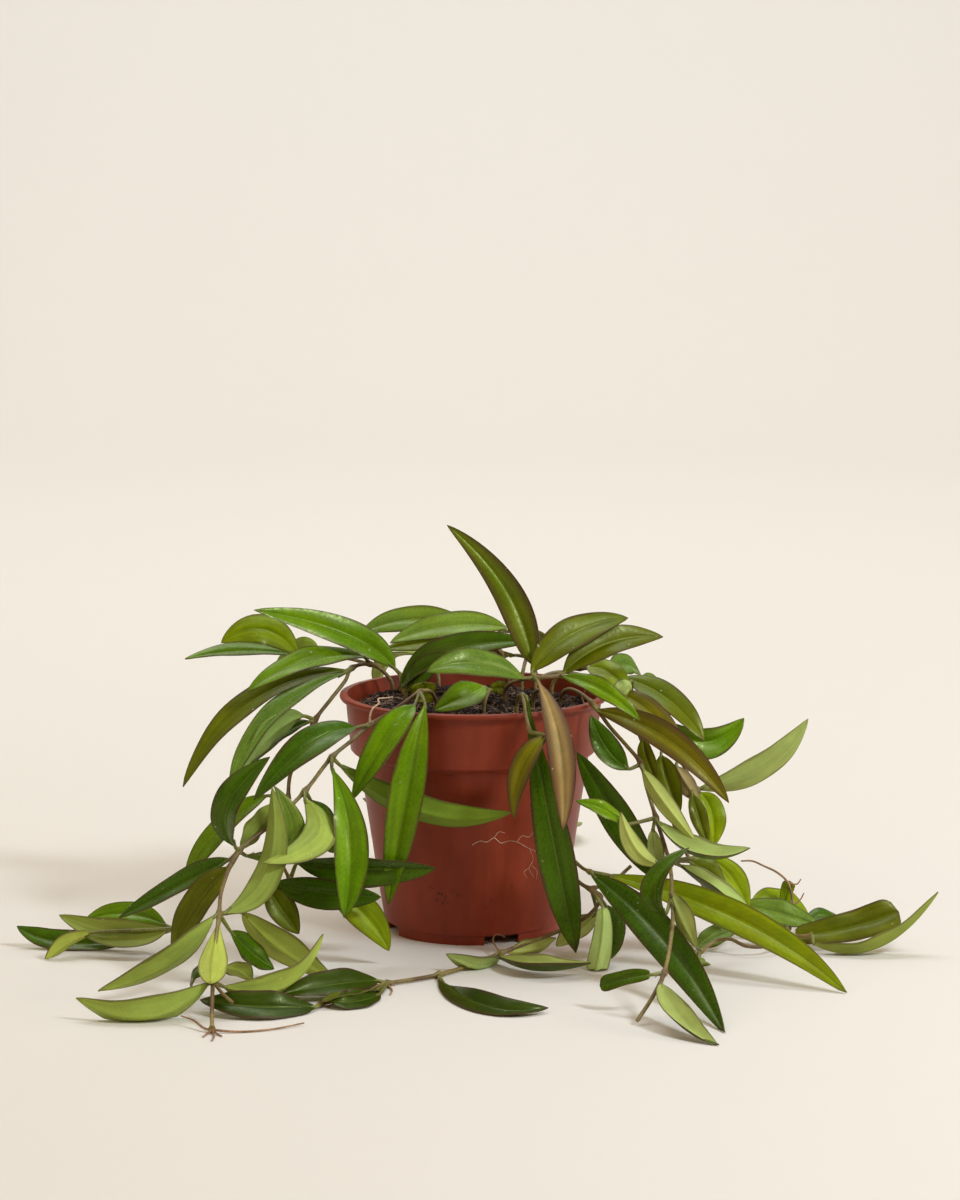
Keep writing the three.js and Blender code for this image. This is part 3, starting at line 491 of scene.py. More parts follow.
@dataclass(frozen=True)
class LeafFinish:
    """Waxy leaf skin: glossy and pebbly above with painted sheen streaks, matte and pale below, with a dark
    margin.

    Attributes:
        margin: The display colour of margin and tip.
        rib: The display colour of the midrib.
        dust: The display colour of the dust.
        sunned: What the upper colour is multiplied by where the sun has warmed it.
        clouds: How many soft clouds a metre holds.
        patches: How many sunned patches a metre holds.
        pebbles: How many fine grains a metre holds.
        specks: How many places for a speck of dust a metre holds.
        streaks: How many painted sheen streaks lie across the blade and along it, and how they differ from
            leaf to leaf.
        veins: How many side veins there are, how far they slant and how they wander.
        uneven: How dark and bright the clouds and the painted sheen streaks are.
        gentle: How dark and bright veins and grains are.
        rib_edge: Where the midrib begins to fade and ends, from the middle out.
        edge: Where the margin begins and is full, from the middle out.
        blush: The same for the blush of leaves with a strong margin.
        tip: Where the dark tip begins and is full, along the blade.
        gloss: The roughness of dull and of shiny leaves above.
        matte: The roughness below.
        relief: The height of the pebbles in metres.
    """

    margin: Display = (74, 36, 36)
    rib: Display = (122, 138, 46)
    dust: Display = (214, 212, 190)
    sunned: Colour = (1.2, 1.06, 0.7)
    clouds: float = 90.0
    patches: float = 38.0
    pebbles: float = 700.0
    specks: float = 650.0
    streaks: Triple = (9.0, 2.2, 40.0)
    veins: Triple = (9.0, -0.9, 0.4)
    uneven: Span = (0.86, 1.14)
    gentle: Span = (0.975, 1.03)
    rib_edge: Span = (0.02, 0.1)
    edge: Span = (0.84, 0.97)
    blush: Span = (0.3, 0.95)
    tip: Span = (0.93, 1.0)
    gloss: Span = (0.5, 0.26)
    matte: float = 0.58
    relief: float = 0.00018

    def fill(self, graph: Graph) -> tuple[Socket, Socket, Socket]:
        """Adds the leaf's nodes, which read its own map and colours.

        Args:
            graph: The group's graph.

        Returns:
            The colour, the roughness and the relief.
        """
        sheet = graph.parts(graph.node("UVMap", uv_map="LeafMap").outputs[0])
        across = graph.maths("ABSOLUTE", graph.maths("MULTIPLY_ADD", sheet[0], 2.0, -1.0))
        body = graph.body()
        upper, under = graph.kept("upper_colour", "Color"), graph.kept("under_colour", "Color")
        margin, shine, number = graph.parts(graph.kept("traits", "Vector"))
        below = graph.kept("below", "Fac")
        cloud = graph.grain(body, self.clouds, 3.0, 0.6)
        fine = graph.grain(body, self.pebbles, 1.5)
        # Lengthwise streaks that make the colour lighter and darker: a painted sheen
        streaks = graph.grain(graph.joined(*(
            graph.times(way, count) for way, count in zip((sheet[0], sheet[1], number), self.streaks))), 1.0)
        pitch, slant, wander = self.veins
        slanted = graph.plus(graph.times(sheet[1], pitch), graph.times(across, slant))
        veins = graph.node("TexWave", {
            "Vector": graph.joined(slanted, graph.times(across, wander)), "Scale": 1.0, "Distortion": 1.6,
            "Detail": 1.0}).outputs["Fac"]
        shade = graph.ramp(cloud, *MOST, *self.uneven)
        shade = graph.times(shade, graph.ramp(veins, 0.2, 0.9, *self.gentle))
        shade = graph.times(shade, graph.ramp(fine, 0.3, 0.75, *self.gentle))
        tint = graph.grey(graph.times(shade, graph.ramp(streaks, *MOST, *self.uneven)))
        patch = graph.ramp(graph.grain(body, self.patches, 1.0), 0.4, 0.66, 0.0, 0.8)
        top = graph.mix(patch, upper, graph.mix(1.0, upper, self.sunned, "MULTIPLY"))
        top = graph.mix(1.0, top, tint, "MULTIPLY")
        top = graph.mix(graph.ramp(across, *self.rib_edge, 0.3, 0.0), top, linear(*self.rib))
        bottom = graph.mix(1.0, under, graph.mix(0.6, (1.0, 1.0, 1.0), tint), "MULTIPLY")
        skin = graph.mix(below, top, bottom)
        ragged = graph.maths("MULTIPLY_ADD", graph.maths("SUBTRACT", cloud, 0.5), 0.3, across)
        tip = graph.ramp(sheet[1], *self.tip, 0.0, 0.7)
        edge = graph.times(graph.maths("MAXIMUM", graph.ramp(ragged, *self.edge), tip), margin)
        blush = graph.times(graph.ramp(ragged, *self.blush), graph.ramp(margin, 0.8, 1.0, 0.0, 0.8))
        edge = graph.times(graph.maths("MAXIMUM", edge, blush), graph.ramp(below, 0.0, 1.0, 1.0, 0.75))
        skin = graph.mix(edge, skin, linear(*self.margin))
        dust = graph.ramp(graph.grain(body, self.specks, 0.0), 0.86, 0.88)
        skin = graph.mix(graph.times(dust, 0.55), skin, linear(*self.dust))
        rough = graph.plus(graph.ramp(shine, 0.0, 1.0, *self.gloss), graph.ramp(fine, 0.3, 0.75, -0.03, 0.14))
        rough = graph.between(below, rough, self.matte)
        return skin, rough, graph.relief(graph.plus(fine, graph.times(veins, 0.06)), 0.25, self.relief)

    def material(self) -> Material:
        """Makes the leaf material."""
        return surfaced("leaf_skin", "waxy_skin", self.fill, {}, Specular_IOR_Level=0.32,
                        Specular_Tint=(1.0, 0.98, 0.42, 1.0))


@dataclass(frozen=True)
class GrainFinish:
    """A surface of two colours mixed by a noise, with a relief of its own.

    Attributes:
        name: The material's name.
        dark: The darker display colour.
        light: The lighter display colour.
        scale: How many patches a metre holds.
        fine: How many fine grains a metre holds.
        rough: The roughness.
        relief: The height of the relief in metres.
        UNEVEN: How dark and bright the fine grains are.
        SPREAD: How far the roughness strays.
    """

    UNEVEN: ClassVar[Span] = (0.72, 1.2)
    SPREAD: ClassVar[float] = 0.07
    name: str
    dark: Display
    light: Display
    scale: float
    fine: float
    rough: float
    relief: float

    def fill(self, graph: Graph) -> tuple[Socket, Socket, Socket]:
        """Adds the nodes of the group that all such surfaces share.

        Args:
            graph: The group's graph.

        Returns:
            The colour, the roughness and the relief.
        """
        body = graph.body()
        patch = graph.grain(body, graph.given("Scale"), 3.0, 0.6)
        fine = graph.grain(body, graph.given("Fine"))
        colour = graph.mix(graph.ramp(patch, 0.32, 0.68), graph.given("Dark"), graph.given("Light"))
        colour = graph.mix(1.0, colour, graph.grey(graph.ramp(fine, *MOST, *self.UNEVEN)), "MULTIPLY")
        smooth, dull = (graph.plus(graph.given("Rough"), stray) for stray in (-self.SPREAD, self.SPREAD))
        rough = graph.ramp(fine, 0.2, 0.8, smooth, dull)
        return colour, rough, graph.relief(fine, 0.5, graph.given("Relief"))

    def material(self) -> Material:
        """Makes the material."""
        return surfaced(self.name, "two_tone_grain", self.fill, {
            "Dark": linear(*self.dark), "Light": linear(*self.light), "Scale": self.scale, "Fine": self.fine,
            "Rough": self.rough, "Relief": self.relief})


@dataclass(frozen=True)
class PotFinish:
    """Moulded plastic with a satin sheen, faint turning lines, scuffs and dried soil.

    Attributes:
        body: The plastic's display colour.
        faded: Its display colour where it has faded.
        dirt: The display colour of dried soil.
        clouds: How many faded clouds a metre holds.
        lines: How many turning lines a metre holds.
        specks: How many specks of soil a metre holds.
        areas: How many soiled areas a metre holds.
        soiled: The height up to which the foot is soiled, in metres.
        satin: The roughness of plain and of faded plastic.
        relief: The height of the relief in metres.
    """

    body: Display = (134, 50, 26)
    faded: Display = (150, 60, 34)
    dirt: Display = (70, 42, 26)
    clouds: float = 28.0
    lines: float = 260.0
    specks: float = 240.0
    areas: float = 34.0
    soiled: float = 0.03
    satin: Span = (0.4, 0.48)
    relief: float = 0.0003

    def fill(self, graph: Graph) -> tuple[Socket, Socket, Socket]:
        """Adds the nodes.

        Args:
            graph: The group's graph.

        Returns:
            The colour, the roughness and the relief.
        """
        body = graph.body()
        cloud = graph.grain(body, self.clouds, 3.0, 0.6)
        fine = graph.grain(body, 1500.0)
        streaks = graph.grain(graph.node("Mapping", {0: body, 3: (1.0, 1.0, 0.12)}).outputs[0], self.lines)
        colour = graph.mix(graph.ramp(cloud, 0.3, 0.75), linear(*self.body), linear(*self.faded))
        colour = graph.mix(1.0, colour, graph.grey(graph.ramp(streaks, *MOST, 0.93, 1.06)), "MULTIPLY")
        specks = graph.ramp(graph.grain(body, self.specks, 3.0, 0.7), 0.68, 0.74)
        areas = graph.ramp(graph.grain(body, self.areas, 1.0), 0.56, 0.7)
        low = graph.ramp(graph.parts(body)[2], 0.0, self.soiled, 0.45, 0.0)
        dirt = graph.times(specks, graph.plus(areas, low))
        colour = graph.mix(graph.times(dirt, 0.75), colour, linear(*self.dirt))
        rough = graph.plus(graph.ramp(cloud, *MOST, *self.satin), graph.times(dirt, 0.3))
        height = graph.plus(graph.times(fine, 0.4), graph.times(streaks, 0.3))
        height = graph.plus(height, graph.times(dirt, 0.8))
        return colour, rough, graph.relief(height, 0.25, self.relief)

    def material(self) -> Material:
        """Makes the pot's material."""
        return surfaced("pot_plastic", "soiled_plastic", self.fill, {}, Specular_IOR_Level=0.24)


STEM = GrainFinish("stem_bark", (104, 72, 40), (146, 128, 66), 60.0, 900.0, 0.52, 0.0003)
STALK = GrainFinish("leaf_stalk", (104, 96, 40), (136, 138, 58), 90.0, 900.0, 0.45, 0.0002)
COMPOST = GrainFinish("compost", (26, 16, 10), (70, 46, 30), 260.0, 1400.0, 0.92, 0.001)
FIBRE = GrainFinish("coir_fibre", (104, 70, 50), (184, 152, 120), 200.0, 1500.0, 0.8, 0.0002)
ROOT = GrainFinish("dry_root", (204, 164, 130), (240, 212, 182), 200.0, 1500.0, 0.7, 0.0002)
DRIED_SOIL = GrainFinish("dried_soil", (66, 38, 26), (104, 60, 40), 900.0, 1500.0, 0.85, 0.0002)
TENDRIL = GrainFinish("dry_tendril", (132, 94, 62), (176, 138, 98), 160.0, 1500.0, 0.7, 0.0002)


@dataclass
class Leaf:
    """One leaf: its stalk leaves the stem at node, and its blade runs from base through middle to tip.

    Attributes:
        node: Where the stalk leaves the stem.
        base: Where the blade starts.
        middle: A place halfway along the midrib.
        tip: The end of the blade.
        width: The blade's greatest width in millimetres.
        face: The way that the upper side looks at the middle.
        fold: The lift of each half in degrees.
        tone: Its kind.
        twist: The turn from base to tip in degrees.
        blunt: Whether the far end is cut off or hidden.
        lean: How far towards the tip the blade is widest; 1 is near the middle.
    """

    node: Reading
    base: Reading
    middle: Reading
    tip: Reading
    width: float
    face: Triple
    fold: float
    tone: Tone
    twist: float = 0.0
    blunt: bool = False
    lean: float = 1.0

    def share(self, along: np.ndarray) -> np.ndarray:
        """Gives how wide the blade is at places from 0 to 1 along it, as a share of its width.

        Args:
            along: The places along the blade.

        Returns:
            The shares.
        """
        if self.blunt:
            # It widens quickly from its base and stays wide until its last sixth
            end = np.clip((along - 0.84) / 0.16, 0, 1)
            return np.minimum(1, 0.35 + 0.75 * along**0.4) * np.sqrt(1 - end**2.5)
        return np.sin(np.pi * np.clip(along, 0, 1) ** (0.9 * self.lean)).clip(0) ** 0.72

    def frames(self, curve: np.ndarray) -> tuple[np.ndarray, np.ndarray]:
        """Finds the blade's sideways and upward ways along its midrib.

        Args:
            curve: The places along the midrib.

        Returns:
            The sideways ways and the upward ways.
        """
        ahead = np.gradient(curve, axis=0)
        ahead /= np.linalg.norm(ahead, axis=1, keepdims=True)
        ups = np.zeros_like(curve)
        middle = len(curve) // 2

        def square(way: np.ndarray, tangent: np.ndarray) -> np.ndarray:
            """Turns a way so that it is square to the midrib."""
            flat = way - tangent * way.dot(tangent)
            return flat / np.linalg.norm(flat)

        ups[middle] = square(np.array(self.face), ahead[middle])
        for index in range(middle - 1, -1, -1):
            ups[index] = square(ups[index + 1], ahead[index])
        for index in range(middle + 1, len(curve)):
            ups[index] = square(ups[index - 1], ahead[index])
        turn = np.radians(self.twist) * (np.linspace(0, 1, len(curve)) - 0.5)[:, None]
        sides = np.cross(ahead, ups)
        return sides * np.cos(turn) + ups * np.sin(turn), ups * np.cos(turn) - sides * np.sin(turn)


@dataclass
class Route:
    """A run of stem, root or tendril.

    Attributes:
        radius: Its radius in millimetres.
        places: The places that it passes.
    """

    radius: float
    places: list[Reading]


@dataclass
class LeafMaker:
    """Models one flat leaf and bends a copy of it for each leaf of the plant. Sizes are in millimetres.

    Attributes:
        across: How many faces lie across the blade.
        along: How many faces lie along the blade.
        crowd: How much the faces crowd towards the midrib.
        sheet: The flat leaf's own thickness, which tells its two sides apart.
        thick: The thickness at the midrib.
        thinning: How much of the thickness is lost at the edge.
        end_thick: The share of the thickness that is left where the blade is narrowest.
        end_half: The least half width.
        cup: How far each half bulges.
        groove: The depth and the half width of the midrib's groove above.
        keel: The same for the midrib's ridge below.
        ripple: The least and greatest wave of the edge.
        waves: The least and greatest number of waves.
        stalk_radius: The stalk's radius.
        lying: The least height of a blade.
        master: The flat leaf.
        finish: The leaf material.
        draw: The source of random draws.
    """

    across: int = 12
    along: int = 30
    crowd: float = 1.25
    sheet: float = 0.1
    thick: float = 1.25
    thinning: float = 0.62
    end_thick: float = 0.55
    end_half: float = 0.12
    cup: float = 0.55
    groove: Span = (0.5, 0.11)
    keel: Span = (0.3, 0.12)
    ripple: Span = (0.25, 0.6)
    waves: Span = (1.4, 2.6)
    stalk_radius: float = 0.85
    lying: float = 0.45
    master: Piece = field(init=False)
    finish: Material = field(init=False)
    draw: random.Random = field(init=False)

    def __post_init__(self) -> None:
        """Models the master leaf."""
        self.draw = random.Random(11)
        self.finish = LeafFinish().material()
        rest()
        bpy.ops.mesh.primitive_grid_add(x_subdivisions=self.across, y_subdivisions=self.along, size=2)
        leaf = bpy.context.object
        leaf.name = "master_leaf"
        leaf.scale = (1, 0.5, 1)
        leaf.location = (0, 0.5, 0)
        settle()
        leaf.data.uv_layers[0].name = "LeafMap"
        apply(leaf, "SOLIDIFY", thickness=self.sheet, offset=-1)
        soften(leaf, 50)
        leaf.data.materials.append(self.finish)
        self.master = leaf

    def bend(self, spec: Leaf) -> Piece:
        """Bends a copy of the master leaf along one leaf's midrib.

        Args:
            spec: The leaf.

        Returns:
            The leaf's piece.
        """
        leaf = shown("leaf", self.master.data.copy())
        flat = np.zeros(len(leaf.data.vertices) * 3)
        leaf.data.vertices.foreach_get("co", flat)
        x, y, z = flat.reshape(-1, 3).T
        below = z < -self.sheet / 2
        x = np.sign(x) * np.abs(x) ** self.crowd
        row = np.rint(y * self.along).astype(int).clip(0, self.along)
        base, middle, tip = (point(reading) for reading in (spec.base, spec.middle, spec.tip))
        bend = middle * 2 - base * 0.5 - tip * 0.5
        steps = np.linspace(0, 1, self.along + 1)[:, None]
        curve = (1 - steps) ** 2 * np.array(base) + 2 * steps * (1 - steps) * np.array(bend)
        curve = curve + steps**2 * np.array(tip)
        sides, ups = spec.frames(curve)
        foot = self.stalk_radius * (1 - y) ** 4 + self.end_half
        half = np.maximum(spec.width / 2 * spec.share(y), foot)
        fold = np.radians(spec.fold)
        full = np.clip(half / (spec.width / 2), 0, 1)
        phase, ripple = self.draw.uniform(0, 6.3), self.draw.uniform(*self.ripple)
        waves = self.draw.uniform(*self.waves)
        reach = x * half * math.cos(fold)
        lift = np.abs(x) * half * math.sin(fold) + self.cup * full * (1 - x**2) * np.abs(x)
        lift += ripple * np.abs(x) * full * np.sin(TURN * waves * y + phase + np.sign(x) * 0.9)
        lift -= self.groove[0] * full * np.exp(-((x / self.groove[1]) ** 2))
        thick = self.thick * (1 - self.thinning * x**2) * (self.end_thick + (1 - self.end_thick) * full)
        keel = self.keel[0] * full * np.exp(-((x / self.keel[1]) ** 2))
        lift += np.where(below, -thick / 2 - keel, thick / 2)
        places = curve[row] + sides[row] * reach[:, None] + ups[row] * lift[:, None]
        floor = np.where(below, self.lying, self.lying + thick * 0.8)
        places[:, 2] = np.maximum(places[:, 2], floor)
        leaf.data.vertices.foreach_set("co", (places * MM).ravel())
        self.colour(leaf, spec.tone.value, below)
        leaf.data.update()
        return leaf

    def colour(self, leaf: Piece, tone: LeafTone, below: np.ndarray) -> None:
        """Gives a leaf its own colours, a little different for each leaf.

        Args:
            leaf: The leaf's piece.
            tone: The leaf's kind.
            below: Which of its points are on the under side.
        """
        count = len(below)
        bright, warm = self.draw.uniform(0.88, 1.12), self.draw.uniform(0.94, 1.08)
        for name, colour in (("upper_colour", tone.upper), ("under_colour", tone.under)):
            red, green, blue = linear(*colour)
            values = np.tile((red * bright * warm, green * bright, blue * bright / warm, 1.0), count)
            leaf.data.attributes.new(name, "FLOAT_COLOR", "POINT").data.foreach_set("color", values)
        traits = np.tile((tone.margin, tone.gloss, self.draw.random()), count)
        leaf.data.attributes.new("traits", "FLOAT_VECTOR", "POINT").data.foreach_set("vector", traits)
        leaf.data.attributes.new("below", "FLOAT", "POINT").data.foreach_set("value", below.astype(float))

    def stalk(self, spec: Leaf, height: float) -> Line:
        """Gives the short stalk that carries a blade.

        Args:
            spec: The leaf.
            height: The stem's least height in millimetres.

        Returns:
            The stalk's places and its radius at each.
        """
        base, middle = point(spec.base), point(spec.middle)
        into = base + (middle - base).normalized() * min(3.0, (middle - base).length * 0.2)
        low = self.stalk_radius + 0.3
        line = smooth_path([lifted(spec.node, height), lifted(base, low), lifted(into, low)], STALK_STEP)
        return line, [self.stalk_radius * (1.25 - 0.55 * share) for share in np.linspace(0, 1, len(line))]

    def retire(self) -> None:
        """Removes the master leaf once every leaf is made."""
        bpy.data.objects.remove(self.master)


@dataclass
class Vine:
    """One leafy stem with its swollen joints, stalks and leaves. Sizes are in millimetres.

    Attributes:
        name: The solid that it stands for.
        routes: Its runs of stem, of which the first one is rooted in the soil.
        leaves: Its leaves.
        knots: Where it is swollen without carrying a leaf.
        rooted: The heights at which the stem stands upright in the soil.
        swelling: The stem's thickness away from joints, what a joint adds, and the joint's half length.
    """

    name: str
    routes: list[Route]
    leaves: list[Leaf]
    knots: list[Reading] = field(default_factory=list)
    rooted: Span = (88.6, 101.5)
    swelling: Triple = (0.92, 0.75, 1.9)

    def stems(self) -> Iterable[Line]:
        """Works out each run of stem.

        Yields:
            The run's places and its radius at each.
        """
        nodes = [*self.knots, *(leaf.node for leaf in self.leaves)]
        joints = [lifted(node, self.routes[0].radius + STEM_GAP) for node in nodes]
        plain, added, half = self.swelling
        for index, route in enumerate(self.routes):
            places = [lifted(reading, route.radius + STEM_GAP) for reading in route.places]
            if index == 0:
                places = [Vector((*places[0].xy, height)) for height in self.rooted] + places
            line = smooth_path(places, STEM_STEP)
            radii = []
            for here in line:
                near = min((here - joint).length for joint in joints)
                radii.append(route.radius * (plain + added * math.exp(-((near / half) ** 2))))
            yield line, radii

    def build(self, maker: LeafMaker, bark: Material, stalk: Material) -> Piece:
        """Makes the stem and its leaves as one piece.

        Args:
            maker: What bends the leaves.
            bark: The stem's material.
            stalk: The leaf stalks' material.

        Returns:
            The piece.
        """
        height = self.routes[0].radius + STEM_GAP
        pieces = [strands(self.name + "_run", self.stems(), 3, bark)]
        lines = [maker.stalk(leaf, height) for leaf in self.leaves]
        pieces.append(strands(self.name + "_stalks", lines, 2, stalk))
        pieces += [maker.bend(leaf) for leaf in self.leaves]
        piece = join(pieces, self.name.replace("stem_", "vine_").replace("leaf_", "small_vine_"))
        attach(piece, "root")
        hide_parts(self.name)
        return piece


